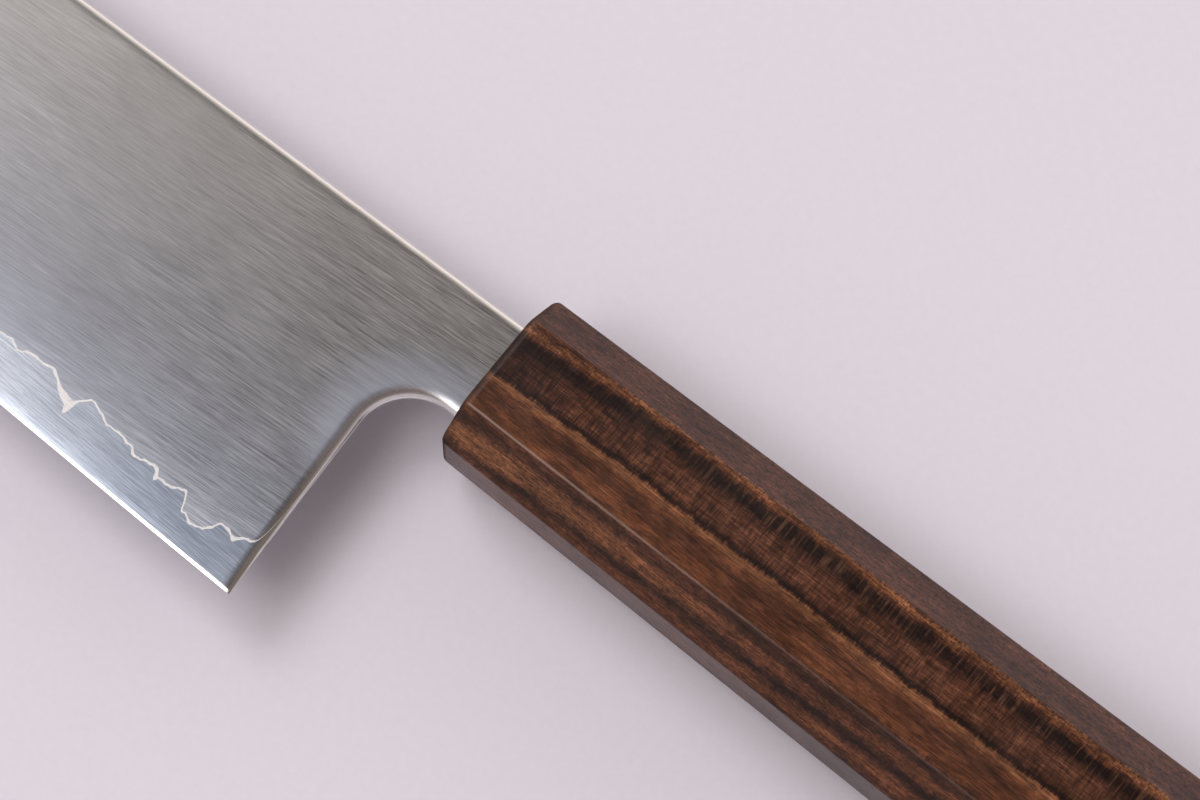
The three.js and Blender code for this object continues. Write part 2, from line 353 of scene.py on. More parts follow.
def ragged(spacing, size):
    """Random heights at evenly spaced places ahead of the heel, joined by straight lines."""
    places = np.arange(0, BLADE_LENGTH + HEEL_GAP, spacing)
    heights = draw.normal(0, size, len(places))
    return lambda ahead: np.interp(ahead, places, heights)


def smooth_through(points, x):
    """Cubic Hermite curve through points (place, value); each point's slope comes from its neighbours."""
    place, value = points.T
    slope = np.gradient(value, place)
    i = np.clip(np.searchsorted(place, x) - 1, 0, len(place) - 2)
    step = place[i + 1] - place[i]
    t = (x - place[i]) / step
    start = value[i] * (1 + 2 * t) * (1 - t) ** 2 + slope[i] * step * t * (1 - t) ** 2
    end = value[i + 1] * (3 - 2 * t) * t ** 2 + slope[i + 1] * step * (t - 1) * t ** 2
    return start + end


tooth_fine, tooth_coarse, drift = ragged(*FINE_TEETH), ragged(*COARSE_TEETH), ragged(*SLOW_DRIFT)
lower_width, upper_width = ragged(*LOWER_CHANGE), ragged(*UPPER_CHANGE)


def weld_middle(ahead):
    """Height of the line: the drawn curve, repeated ahead with a drift, plus teeth that calm at the heel."""
    period = WELD_LINE[-1, 0]
    calm = np.clip((ahead - HEEL_ROLL) / HEEL_CALM, 0, 1)
    unseen = np.clip((ahead - period) / period, 0, 1)
    teeth = calm * (tooth_fine(ahead) + tooth_coarse(ahead))
    return smooth_through(WELD_LINE, ahead % period) + teeth + unseen * drift(ahead)


def half_line(ahead, width):
    """Half the line's width measured straight up: wider by the root of 1 + slope squared where it climbs."""
    rise = weld_middle(ahead + SLOPE_STEP) - weld_middle(np.maximum(ahead - SLOPE_STEP, HEEL_ROLL))
    slope = rise / (2 * SLOPE_STEP)
    return np.maximum(LINE_HALF_WIDTH + width(ahead), THINNEST_HALF) * np.sqrt(1 + slope ** 2)


def weld_lower(ahead):
    """Border against the core: half a line below the middle, torn down further at each spur."""
    ahead = np.maximum(ahead, HEEL_ROLL)
    torn = sum(drop * np.clip(SPUR_FLANK * (1 - abs(ahead - place) / half), 0, 1)
               for place, drop, half in SPURS)
    return weld_middle(ahead) - half_line(ahead, lower_width) - torn


def weld_upper(ahead):
    """Border against the cladding: half a line above the middle."""
    ahead = np.maximum(ahead, HEEL_ROLL)
    return weld_middle(ahead) + half_line(ahead, upper_width)


sample = np.arange(HEEL_ROLL, WELD_LINE[-1, 0], SLOPE_STEP)
print("line is", (weld_upper(sample) - weld_lower(sample)).mean().round(2), "mm wide on average")

# %% [markdown]
# ## Pairs of places above and below
#
# A layer is a sheet between a lower border and an upper one. If place number j on the lower border is
# paired with place j on the upper one, straight columns between the pairs fill the sheet with a tidy grid.
# Along most of the blade the columns stand nearly upright. Toward the heel they lean forward, and around
# the heel and the choil they fan out, so that none of them runs along a rim. First come the stretches of
# both rims, each with the number of columns that it gets.

# %% Stretches along the rims
EDGE_COLUMNS = 1350
HEEL_COLUMNS, CHOIL_COLUMNS, NECK_COLUMNS, TANG_COLUMNS, END_COLUMNS = 48, 36, 14, 14, 12
ABOVE_HEEL, ABOVE_CHOIL, ABOVE_NECK = -40.0, -21.0, -4.0

upper_length = running_length(upper_rim)[-1]
lower_length = running_length(lower_rim)[-1]
back_length = np.linalg.norm(choil[0] - heel)
choil_length = running_length(lower_rim)[len(choil)]
upper_stops = [
    (length_at(upper_rim, ABOVE_HEEL), 0),
    (length_at(upper_rim, ABOVE_CHOIL), HEEL_COLUMNS),
    (length_at(upper_rim, ABOVE_NECK), CHOIL_COLUMNS),
    (length_at(upper_rim, TANG_STRAIGHT), NECK_COLUMNS),
    (length_at(upper_rim, tang_round), TANG_COLUMNS),
    (upper_length, END_COLUMNS),
]
lower_stops = [
    (back_length, 0),
    (choil_length, CHOIL_COLUMNS),
    (choil_length + TANG_STRAIGHT - choil_x, NECK_COLUMNS),
    (back_length + length_at(lower_rim[1:], tang_round), TANG_COLUMNS),
    (lower_length, END_COLUMNS),
]


def spread(stops):
    """Even steps through several stretches, each given as its end and its count, without the first point."""
    return np.concatenate([np.linspace(a, b, count + 1)[1:] for (a, _), (b, count) in zip(stops, stops[1:])])


print("rim above is", upper_length.round(1), "mm long, rim below", lower_length.round(1), "mm")

# %% [markdown]
# ## Where a sheet comes to the surface
#
# Above the edge a sheet ends on its border of the weld line. On the rounded rims it comes out where the
# rounding is just as thick as the sheet, so the layers show there as fine stripes. On the nose both
# borders meet in one point, the pole of the sheet.

# %% Borders on the rounded rims


def upper_border(lengths, height_line):
    """Inside the upper rim, as far as the rounding takes to become as thick as the sheet. The sheet is evened
    out there: it changes steadily from its thickness at the heel to that at the pole."""
    rim, normal = along(upper_rim, lengths), inward(upper_rim, lengths, -1)
    inside = rim + SPINE_ROLL * normal
    pole_height = inside[0, 1] - edge_y(inside[0, 0])
    even = np.interp(inside[:, 0], [inside[0, 0], heel[0]], [pole_height, height_line(HEEL_ROLL)])
    sheet = grind_half(even) * distal_taper(inside[:, 0])
    return rim + SPINE_ROLL * roll_share(sheet / full_half(inside))[:, None] * normal


def lower_border(lengths, height_line):
    """The same on the heel, the choil, the neck and the tang."""
    rim, normal = along(lower_rim, lengths), inward(lower_rim, lengths, 1)
    sheet = grind_half(height_line(0.0))
    share = roll_share(sheet / full_half(rim + HEEL_ROLL * normal))
    return rim + HEEL_ROLL * share[:, None] * normal


def pole(height_line):
    """Length along the nose where the sheet, as high above the edge as its line, meets the rounded nose."""
    lengths = running_length(nose)[2:-2]
    inside = along(upper_rim, lengths) + SPINE_ROLL * inward(upper_rim, lengths, -1)
    over = inside[:, 1] - edge_y(inside[:, 0]) - height_line(heel[0] - inside[:, 0])
    return np.interp(0, over, lengths)


core_pole, clad_pole = pole(weld_lower), pole(weld_upper)
print("poles lie", core_pole.round(2), "and", clad_pole.round(2), "mm from the tip along the nose")

# %% [markdown]
# ## Borders from tip to tang
#
# Both borders of the line get almost the same places along the edge, so that the strip between them stands
# upright on every step. Only in a last short stretch near the tip do they part, each toward its own pole.
# Behind the heel the places go up its back edge, round the choil and along the tang, to a second pole at
# the tang's end.

# %% Paired borders
POLE_STRETCH = 0.02
CLIMB_POWER = 1.6

pole_x = along(upper_rim, np.array([core_pole]))[0, 0]


def paired_places(first, last):
    """Even places from a pole to the heel corner; all layers share them but for a stretch at the pole."""
    run = np.linspace(0, 1, EDGE_COLUMNS)
    shared = pole_x + (last - pole_x) * run
    return shared + (first - pole_x) * np.clip(1 - run / POLE_STRETCH, 0, 1)


def heel_corner(height_line):
    """Where the line comes to the heel: its length up the heel's back edge, and its x inside the rounding."""
    height = height_line(HEEL_ROLL)
    lean = HEEL_ROLL * math.sin(HEEL_LEAN) + EDGE_RISE * (HEEL_ROLL + height * math.sin(HEEL_LEAN))
    climbed = (height + lean) / math.cos(HEEL_LEAN)
    return climbed, heel[0] - HEEL_ROLL * math.cos(HEEL_LEAN) - climbed * math.sin(HEEL_LEAN)


def borders(height_line, start):
    """Paired lower and upper border of the sheet that follows one line of the weld from its pole; also the
    lengths of its places along the upper rim, and along the lower rim behind the edge."""
    above = np.concatenate([np.linspace(start, upper_stops[0][0], EDGE_COLUMNS), spread(upper_stops)])
    high = upper_border(above, height_line)
    corner, corner_x = heel_corner(height_line)
    climb = np.linspace(0, 1, HEEL_COLUMNS + 1)[1:] ** CLIMB_POWER
    behind = np.concatenate([corner * (1 - climb) + back_length * climb, spread(lower_stops)])
    edge_x = paired_places(high[0, 0], corner_x)
    low_edge = np.column_stack([edge_x, edge_y(edge_x) + height_line(heel[0] - edge_x)])
    low_edge[0] = high[0]
    low = np.vstack([low_edge, lower_border(behind, height_line)])
    low[-1] = high[-1] = (high[-1] + low[-1]) / 2
    return low, high, above, behind


core_low_border, core_high_border, core_above, core_behind = borders(weld_lower, core_pole)
clad_low_border, clad_high_border, _, _ = borders(weld_upper, clad_pole)
print(len(core_low_border), "columns from", core_low_border[0].round(2), "to", core_low_border[-1].round(2))

# %% [markdown]
# ## From arrays to pieces
#
# A layer is a row of closed rings, one for each column. The mesh joins every ring to the next with quads;
# rings that shrink to a point or a line close the ends by merging. Sharp corners are found by angle, and
# the rows where layers meet are sharp too, so the skin stays smooth while the hidden inner faces don't
# drag its shading.

# %% Rings to a mesh
MERGE = 2e-7
CORNER_ANGLE = math.radians(40)
SIDES = (("left", 1), ("right", -1))


def strip(start, end, shares):
    """Points between paired borders: start plus a share of the way to the end, for every pair and share."""
    shares = np.broadcast_to(shares, (len(start), np.shape(shares)[-1]))
    return start[:, None] + (end - start)[:, None] * shares[..., None]


def with_height(xy, z):
    """Adds a height to flat points."""
    return np.concatenate([xy, z[..., None]], axis=-1)


def ring_faces(rings, around):
    """Quads between neighbouring rings of a row: point i of ring j to point i + 1 and ring j + 1."""
    ring, point = np.meshgrid(np.arange(rings - 1), np.arange(around), indexing="ij")
    here, there = ring * around, (ring + 1) * around
    after = (point + 1) % around
    quads = [here + point, here + after, there + after, there + point]
    return np.stack(quads, axis=-1).reshape(-1, 4)


def mark_crisp_edges(mesh):
    """Sharp edges: corners by angle, and each edge that runs along a border row."""
    mesh.set_sharp_from_angle(angle=CORNER_ANGLE)
    on_border = np.empty(len(mesh.vertices), bool)
    mesh.attributes["border"].data.foreach_get("value", on_border)
    mesh.attributes.remove(mesh.attributes["border"])
    ends = np.empty(len(mesh.edges) * 2, np.int32)
    mesh.edges.foreach_get("vertices", ends)
    sharp = np.empty(len(mesh.edges), bool)
    mesh.edges.foreach_get("use_edge_sharp", sharp)
    mesh.edges.foreach_set("use_edge_sharp", sharp | on_border[ends].reshape(-1, 2).all(axis=1))


def close_and_turn_outward(mesh):
    """Merges the points of the poles and turns all faces outward."""
    shape = bmesh.new()
    shape.from_mesh(mesh)
    bmesh.ops.remove_doubles(shape, verts=shape.verts, dist=MERGE)
    bmesh.ops.dissolve_degenerate(shape, edges=shape.edges, dist=MERGE)
    bmesh.ops.recalc_face_normals(shape, faces=shape.faces)
    if shape.calc_volume(signed=True) < 0:
        bmesh.ops.reverse_faces(shape, faces=shape.faces)
    shape.to_mesh(mesh)
    shape.free()


def piece_from_rings(name, rings, border_rows=()):
    """A closed body through rings of points (mm, drawing board), smooth but for corners and border rows."""
    mesh = bpy.data.meshes.new(name)
    corners = on_table(rings.reshape(-1, 3))
    mesh.from_pydata(corners.tolist(), [], ring_faces(*rings.shape[:2]).tolist())
    border = np.zeros(rings.shape[:2], bool)
    border[:, list(border_rows)] = True
    mesh.attributes.new("border", "BOOLEAN", "POINT").data.foreach_set("value", border.ravel())
    close_and_turn_outward(mesh)
    mesh.polygons.foreach_set("use_smooth", np.ones(len(mesh.polygons), bool))
    mark_crisp_edges(mesh)
    piece = bpy.data.objects.new(name, mesh)
    bpy.context.scene.collection.objects.link(piece)
    return piece


def finish_piece(piece, node):
    """Rides on the knife's one body and hides the node it stands for."""
    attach(piece, "root")
    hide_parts(node)
    print(piece.name, "has", len(piece.data.polygons), "faces")
    return piece


# %% [markdown]
# ## Maps and stored values
#
# A finish has to know where on the knife it is. Each steel piece gets a flat UV map, x and y of the
# drawing board, that the brushing follows. Values stored at the points tell a material where a rim was
# buffed and where around the choil a painted highlight lies, and fade softly at their borders.

# %% Map and values for the finishes
UV_UNIT = 100.0
POLISH_START, POLISH_END = 0.25, 0.85
CHOIL_HIGHLIGHT_START, CHOIL_HIGHLIGHT_END = 1.5, 8.0


def places_of(mesh):
    """The mesh's points as an array on the drawing board."""
    flat = np.empty(len(mesh.vertices) * 3, np.float32)
    mesh.vertices.foreach_get("co", flat)
    return on_board(flat.reshape(-1, 3))


def lay_flat_map(mesh):
    """UV map with u along the blade and v up it, so that the tangent follows the brushing."""
    corner_of = np.empty(len(mesh.loops), np.int32)
    mesh.loops.foreach_get("vertex_index", corner_of)
    layer = mesh.uv_layers.new(name="along_blade")
    layer.uv.foreach_set("vector", (places_of(mesh)[corner_of, :2] / UV_UNIT).astype(np.float32).ravel())


def fade_out(value, start, end):
    """1 up to the start, 0 from the end on, and a smooth step between them."""
    share = np.clip((value - start) / (end - start), 0, 1)
    return 1 - share * share * (3 - 2 * share)


def store_value(mesh, name, values):
    """Keeps one number for each point of a mesh, for its material to read."""
    mesh.attributes.new(name, "FLOAT", "POINT").data.foreach_set("value", values.astype(np.float32))


def mark_polish(mesh):
    """Polish is 1 on a buffed rim and fades to 0 on the face; choil_highlight is a wider patch of painted
    highlight round the choil.
    """
    places = places_of(mesh)[:, :2]
    store_value(mesh, "polish", fade_out(rim_share(places), POLISH_START, POLISH_END))
    # a patch around the choil, for a painted highlight
    from_choil = np.linalg.norm(places - (choil_x, choil_y), axis=1) - CHOIL_RADIUS
    store_value(mesh, "choil_highlight", fade_out(from_choil, CHOIL_HIGHLIGHT_START, CHOIL_HIGHLIGHT_END))


print("polish fades between", POLISH_START * SPINE_ROLL, "and", POLISH_END * SPINE_ROLL, "mm from the rims")

# %% [markdown]
# ## Following the ragged line
#
# The weld line has steps that are nearly upright, and a sheet of leaning columns would fold over them. So
# the cladding's columns start on a calm line drawn through the ragged one, and afterwards every point of
# the sheet is shifted straight up or down, until the border lies on the ragged line. The shift fades out
# with height.

# %% From the calm line to the ragged one
CALM_STEP = 6.0
FOLLOW_BAND, FOLLOW_SHARE, LEAST_BAND = 5.0, 0.8, 1e-6

calm_places = np.linspace(HEEL_ROLL, heel[0] - clad_high_border[0, 0], round(BLADE_LENGTH / CALM_STEP))
calm_heights = weld_upper(calm_places)


def calm_upper(ahead):
    """The line's upper border drawn straight between places a few millimetres apart, so nowhere steep."""
    return np.interp(ahead, calm_places, calm_heights)


def follow_line(xy):
    """Shifts points by the gap between the calm and the ragged border at their x; the shift fades out evenly
    over a band above the border, so that no column folds over its neighbour."""
    x, y = xy[..., 0], xy[..., 1]
    ahead = heel[0] - x
    calm_y = edge_y(x) + calm_upper(ahead)
    room = np.interp(x, clad_high_border[:, 0], clad_high_border[:, 1]) - calm_y
    band = np.clip(FOLLOW_SHARE * room, LEAST_BAND, FOLLOW_BAND)
    fade = 1 - np.clip((y - calm_y) / band, 0, 1)
    return np.stack([x, y + fade * (weld_upper(ahead) - calm_upper(ahead))], axis=-1)


calm_low_border = borders(calm_upper, clad_pole)[0]
print("largest shift", abs(clad_low_border - calm_low_border).max().round(2), "mm")

# %% [markdown]
# ## Cladding
#
# The soft outer steel makes most of each face. Its outer side is the skin; its inner side lies on the
# bright layer. A column runs from the weld line to the spine, with close rows at both ends, where the rims
# curve, and wide ones between. The right cladding is the mirror image of the left one.

# %% Left and right cladding
END_ROWS = np.array([0, 0.02, 0.05, 0.09, 0.14, 0.21, 0.3, 0.42, 0.58, 0.78, 1.02, 1.3, 1.65, 2.1, 2.8, 4.0])
LARGEST_END = 0.4
MIDDLE_ROWS = 12
SHEET_ROWS = np.array([0.25, 0.5, 0.75])


def column_shares(low, high):
    """Rows of each column: close steps in millimetres at both ends, squeezed where a column is short."""
    length = np.linalg.norm(high - low, axis=1)[:, None]
    squeeze = np.minimum(1, LARGEST_END * length / END_ROWS[-1])
    ends = np.divide(END_ROWS * squeeze, length, out=np.zeros((len(low), len(END_ROWS))), where=length > 0)
    first, last = ends[:, -1:], 1 - ends[:, -1:]
    middle = first + (last - first) * np.linspace(0, 1, MIDDLE_ROWS + 2)[1:-1]
    return np.concatenate([ends, middle, 1 - ends[:, ::-1]], axis=1)


def cladding_rings():
    """Rings of the left cladding: over the skin from weld line to spine, and back along the inner sheet."""
    outer = strip(calm_low_border, clad_high_border, column_shares(calm_low_border, clad_high_border))
    outer = follow_line(outer)
    outer = with_height(outer, skin(outer))
    inner = strip(outer[:, -1], outer[:, 0], SHEET_ROWS)
    return np.concatenate([outer, inner], axis=1)


claddings = []
left_rings = cladding_rings()
spine_row = 2 * len(END_ROWS) + MIDDLE_ROWS - 1
for side_name, side in SIDES:
    cladding = piece_from_rings(side_name + "_cladding_face", left_rings * (1, 1, side), (0, spine_row))
    lay_flat_map(cladding.data)
    mark_polish(cladding.data)
    claddings.append(finish_piece(cladding, side_name + "_cladding"))

# %% [markdown]
# ## Bright layer
#
# Only the cut end of the bright layer shows, as the line. Its ring goes over the skin between the two
# borders, up under the cladding, over the thin rim at the spine and back along the core.

# %% Left and right bright layer
LINE_ROWS = np.linspace(0, 1, 5)


def bright_rings():
    """Rings of the left layer: the line, the sheet under the cladding, the spine, the sheet on the core."""
    line = strip(core_low_border, clad_low_border, LINE_ROWS)
    line = with_height(line, skin(line))
    top = strip(clad_high_border, core_high_border, LINE_ROWS)
    top = with_height(top, skin(top))
    under_cladding = strip(line[:, -1], top[:, 0], SHEET_ROWS)
    on_core = strip(top[:, -1], line[:, 0], SHEET_ROWS)
    return np.concatenate([line, under_cladding, top, on_core], axis=1)


bright_layers = []
left_rings = bright_rings()
line_rows, sheet_rows = len(LINE_ROWS), len(SHEET_ROWS)
line_borders = (0, line_rows - 1, line_rows + sheet_rows, 2 * line_rows + sheet_rows - 1)
for side_name, side in SIDES:
    layer = piece_from_rings(side_name + "_weld_line", left_rings * (1, 1, side), line_borders)
    lay_flat_map(layer.data)
    bright_layers.append(finish_piece(layer, side_name + "_bond_foil"))

# %% [markdown]
# ## Core
#
# The hard core shows below the weld line, down to the bevel and the edge, and as a thin stripe in the
# middle of the rounded rims. Its columns start on the real outline. At the tip and at the heel corner the
# outline goes round a corner while the weld line stays at one point, so the columns fan out there.

# %% Core with its sharpened edge
TIP_COLUMNS, CORNER_COLUMNS = 60, 40
CORNER_STOP = 0.98
BEVEL_ROWS = np.array([0, 0.5, 0.9, 1.0, 1.1])
SHOULDER_ROW = 3
FACE_ROWS, FACE_POWER = np.linspace(0, 1, 8)[1:], 1.4
LARGEST_SHOULDER = 0.25
LEAST_LENGTH = 1e-9


def outline_columns():
    """Outline and border of the core, above and below, with fans at the tip and at the heel corner."""
    count = EDGE_COLUMNS
    under = np.column_stack([core_low_border[:count, 0], edge_y(core_low_border[:count, 0])])
    over = along(upper_rim, core_above)
    tip_turn = np.linspace(0, 1, TIP_COLUMNS, endpoint=False)
    tip_under_x = tip[0] + (under[0, 0] - tip[0]) * tip_turn
    tip_under = np.column_stack([tip_under_x, edge_y(tip_under_x)])
    tip_over = along(upper_rim, core_above[0] * tip_turn)
    corner_path = np.vstack([under[-1], heel, along(lower_rim, core_behind[:1] * CORNER_STOP)])
    corner = along(corner_path, np.linspace(0, running_length(corner_path)[-1], CORNER_COLUMNS + 1)[1:])
    low_outline = np.vstack([tip_under, under, corner, along(lower_rim, core_behind)])
    at_tip, at_corner = np.zeros(TIP_COLUMNS, int), np.full(CORNER_COLUMNS, count - 1)
    order = np.concatenate([at_tip, np.arange(count), at_corner, np.arange(count, len(core_low_border))])
    high_outline = np.vstack([tip_over, over[order[TIP_COLUMNS:]]])
    return low_outline, core_low_border[order], core_high_border[order], high_outline


def edge_shares(outline, border):
    """Rows from the outline inward: close ones around the shoulder of the bevel, then wider to the border."""
    length = np.maximum(np.linalg.norm(border - outline, axis=1)[:, None], LEAST_LENGTH)
    shoulder = np.minimum(BEVEL_HEIGHT / length, LARGEST_SHOULDER)
    bevel = BEVEL_ROWS * shoulder
    start = bevel[:, -1:]
    return np.concatenate([bevel, start + (1 - start) * FACE_ROWS ** FACE_POWER], axis=1)


def core_rings():
    """Rings of the core: up the left skin, over the sheet, round the spine, and down the right side alike."""
    low_outline, low, high, high_outline = outline_columns()
    below = strip(low_outline, low, edge_shares(low_outline, low))
    above = strip(high_outline, high, edge_shares(high_outline, high))[:, ::-1]
    below, above = (with_height(part, skin(part)) for part in (below, above))
    below[:, 0, 2] = 0
    above[:, -1, 2] = 0
    sheet = strip(below[:, -1], above[:, 0], SHEET_ROWS)
    left = np.concatenate([below, sheet, above], axis=1)
    return np.concatenate([left, left[:, -2:0:-1] * (1, 1, -1)], axis=1)


shown_rows = len(BEVEL_ROWS) + len(FACE_ROWS)
half_ring = 2 * shown_rows + len(SHEET_ROWS)
left_borders = np.array([SHOULDER_ROW, shown_rows - 1, shown_rows + len(SHEET_ROWS)])
core_borders = np.concatenate([left_borders, 2 * half_ring - 2 - left_borders])
core = piece_from_rings("core_and_edge", core_rings(), core_borders)
lay_flat_map(core.data)
mark_polish(core.data)
finish_piece(core, "core_steel")

# %% [markdown]
# ## Section of the handle
#
# The handle is one block of dark wood, planed to a tapering octagon, its arrises eased with fine paper and
# rounder at both ends. Each section is a ring of eight corners, each one a small curve, with a close point
# on both sides of it so that the facets stay flat.

# %% Rings of the octagon
ARRIS_EASE = 0.24
ARRIS_STEPS = 6
FACET_MARGIN = 0.12


def octagon_sizes(x):
    """Half height, half thickness and the width cut off each corner; all grow evenly from front to butt."""
    share = x / HANDLE_LENGTH
    high = (FRONT_HEIGHT + (BUTT_HEIGHT - FRONT_HEIGHT) * share) / 2
    thick = (FRONT_THICKNESS + (BUTT_THICKNESS - FRONT_THICKNESS) * share) / 2
    return high, thick, FRONT_CHAMFER + (BUTT_CHAMFER - FRONT_CHAMFER) * share


def octagon(x, inset):
    """Rings of the eased octagon at places x along the handle, each drawn in by its inset: (ring, point, 3).
    The corners of the second half are those of the first turned half round."""
    inset = inset[:, None]
    high, thick, cut = octagon_sizes(x[:, None])
    high, thick, cut = high - inset, thick - inset, cut - inset * (2 - math.sqrt(2))
    y = np.concatenate([high, high, high - cut, cut - high], axis=1)
    z = np.concatenate([cut - thick, thick - cut, thick, thick], axis=1)
    corner = np.stack([np.concatenate([y, -y], axis=1), np.concatenate([z, -z], axis=1)], axis=-1)
    before, after = np.roll(corner, 1, axis=1) - corner, np.roll(corner, -1, axis=1) - corner
    before /= np.linalg.norm(before, axis=-1, keepdims=True)
    after /= np.linalg.norm(after, axis=-1, keepdims=True)
    start, end = (corner + way * (ARRIS_EASE + inset[..., None]) for way in (before, after))
    t = np.linspace(0, 1, ARRIS_STEPS)[:, None]
    weights = (1 - t) ** 2, 2 * (1 - t) * t, t ** 2
    eased = sum(weight * point[:, :, None] for weight, point in zip(weights, (start, corner, end)))
    lead_in, lead_out = start + before * FACET_MARGIN, end + after * FACET_MARGIN
    ring = np.concatenate([lead_in[:, :, None], eased, lead_out[:, :, None]], axis=2).reshape(len(x), -1, 2)
    return np.concatenate([np.broadcast_to(x[:, None, None], ring.shape[:2] + (1,)), ring], axis=2)


print("a section of the handle has", octagon(np.zeros(1), np.zeros(1)).shape[1], "points")

# %% [markdown]
# ## Handle
#
# The body could be a bevelled prism, but as a row of rings the same function also rounds both ends, turns
# in at the front, forms the mouth and the socket for the tang, and closes the butt. A stored value marks
# the arris below each side facet, where a pale highlight is painted.

# %% Octagonal handle with its socket
END_RADIUS, END_STEPS = 1.0, 8
BODY_STEPS = 40
BUTT_ROWS = np.array([0, 0.3, 0.6, 0.9, 0.985])
FRONT_ROWS = np.array([0.015, 0.15, 0.4, 0.7, 0.93])
MOUTH_ROWS = [0, 0.15]
SOCKET_START, SOCKET_STEPS = 0.5, 12
FIT_GAP, BEDDING_WALL = 0.1, 0.3

bed_inside = FIT_GAP
bed_outside = bed_inside + BEDDING_WALL
socket_outside = bed_outside + FIT_GAP
end_turn = np.linspace(0, math.pi / 2, END_STEPS)


def tang_size(x, grow):
    """Half height of the tang at x, grown on every side: level, tapering, then closing in a half circle."""
    end = tang_end + grow
    tapered = np.interp(x, [TANG_STRAIGHT, tang_round], [neck + grow, end])
    rounded = np.sqrt(np.maximum(end ** 2 - np.maximum(x - tang_round, 0) ** 2, 0))
    return np.where(x > tang_round, rounded, tapered)


def tang_rings(run, grow, pattern):
    """Box-shaped rings around the tang along a run and round its end, with the points of an octagon ring."""
    x = np.concatenate([run, tang_round + (tang_end + grow) * np.sin(end_turn[1:])])
    half_thick = SPINE_THICKNESS / 2 + grow
    top = pattern[:, 1].max()
    y = pattern[None, :, 1] / top * tang_size(x, grow)[:, None]
    flat_part = pattern[pattern[:, 1] > top - FACET_MARGIN / 100, 2].max()
    z = np.clip(pattern[None, :, 2] / flat_part, -1, 1) * half_thick
    return np.stack(np.broadcast_arrays(x[:, None], y, z), axis=-1)


def on_axis(ring):
    """A ring shrunk to its point on the handle's axis."""
    return ring * (1, 0, 0)


def handle_rings():
    """From the middle of the butt over its rim, along the body, round the front, and down into the socket."""
    rim_back, rim_inset = END_RADIUS * (1 - np.sin(end_turn)), END_RADIUS * (1 - np.cos(end_turn))
    butt = octagon(HANDLE_LENGTH - rim_back[::-1], rim_inset[::-1])
    butt_face = on_axis(butt[:1]) + (butt[:1] - on_axis(butt[:1])) * BUTT_ROWS[:, None, None]
    body_x = np.linspace(HANDLE_LENGTH - END_RADIUS - FACET_MARGIN, END_RADIUS + FACET_MARGIN, BODY_STEPS)
    body = octagon(body_x, np.zeros(BODY_STEPS))
    front = octagon(rim_back, rim_inset)
    socket_run = np.concatenate([MOUTH_ROWS, np.linspace(SOCKET_START, tang_round, SOCKET_STEPS)])
    socket = tang_rings(socket_run, socket_outside, front[-1])
    front_face = front[-1:] + (socket[:1] - front[-1:]) * FRONT_ROWS[:, None, None]
    return np.concatenate([butt_face, butt, body, front, front_face, socket, on_axis(socket[-1:])])


def mark_arris(mesh):
    """Value 1 on the eased arris below each side facet, fading to 0 on the facets beside it."""
    x, y, z = places_of(mesh).T
    high, thick, cut = octagon_sizes(x)
    gap = np.hypot(y + high - cut, np.abs(z) - thick)
    store_value(mesh, "arris", fade_out(gap, ARRIS_EASE / 4, ARRIS_EASE))


handle = piece_from_rings("handle_wood_body", handle_rings())
mark_arris(handle.data)
finish_piece(handle, "handle_body")

# %% [markdown]
# ## Bedding
#
# The tang is bedded in resin, which shows as a thin dark frame around the neck where the blade enters the
# wood. It is a sleeve with a closed end, so one row of rings goes along the tang to the mouth and back
# along the socket.

# %% Resin around the tang
BEDDING_STEPS = 14


def bedding_rings():
    """From the inner end point along the inside to the mouth, and along the outside to the outer end."""
    pattern = octagon(np.array([0.0]), np.array([END_RADIUS]))[0]
    run = np.linspace(FIT_GAP, tang_round, BEDDING_STEPS)
    inside, outside = (tang_rings(run, grow, pattern) for grow in (bed_inside, bed_outside))
    return np.concatenate([on_axis(inside[-1:]), inside[::-1], outside, on_axis(outside[-1:])])


bedding = finish_piece(piece_from_rings("tang_bed", bedding_rings()), "tang_bedding")

# %% [markdown]
# ## Node helpers
#
# Materials are small graphs. These helpers keep them readable: they add a node with its settings and
# inputs, do one sum, mix two colours, carry a value to another range, or make a ramp of colours. A range is
# named with two numbers, where it starts and ends, or with four, where the last two are what these become.

# %% Helpers for shader graphs


def feed(tree, node, inputs):
    """Fills a node's inputs: a socket gets linked, and any other value is set."""
    for key, value in inputs.items():
        if isinstance(value, bpy.types.NodeSocket):
            tree.links.new(value, node.inputs[key])
        else:
            node.inputs[key].default_value = value


def add_node(tree, kind, inputs=None, **settings):
    """A node with settings and inputs."""
    node = tree.nodes.new("ShaderNode" + kind)
    for key, value in settings.items():
        setattr(node, key, value)
    feed(tree, node, inputs or {})
    return node


def math_node(tree, operation, a, b=0.0):
    """The result of one sum."""
    return add_node(tree, "Math", {0: a, 1: b}, operation=operation).outputs[0]


def plus(tree, a, b):
    """a plus b."""
    return math_node(tree, "ADD", a, b)


def minus(tree, a, b):
    """a less b."""
    return math_node(tree, "SUBTRACT", a, b)


def times(tree, a, b):
    """a times b."""
    return math_node(tree, "MULTIPLY", a, b)


def mix_colour(tree, share, a, b, blend="MIX"):
    """Colour a turned into colour b by a share."""
    node = add_node(tree, "Mix", {0: share, 6: a, 7: b}, data_type="RGBA", blend_type=blend)
    return node.outputs[2]


def fit_range(tree, value, low, high, to_low=0.0, to_high=1.0, smooth=False):
    """A value carried from one range to another, and held at its ends."""
    kind = "SMOOTHSTEP" if smooth else "LINEAR"
    inputs = {0: value, 1: low, 2: high, 3: to_low, 4: to_high}
    return add_node(tree, "MapRange", inputs, interpolation_type=kind).outputs[0]


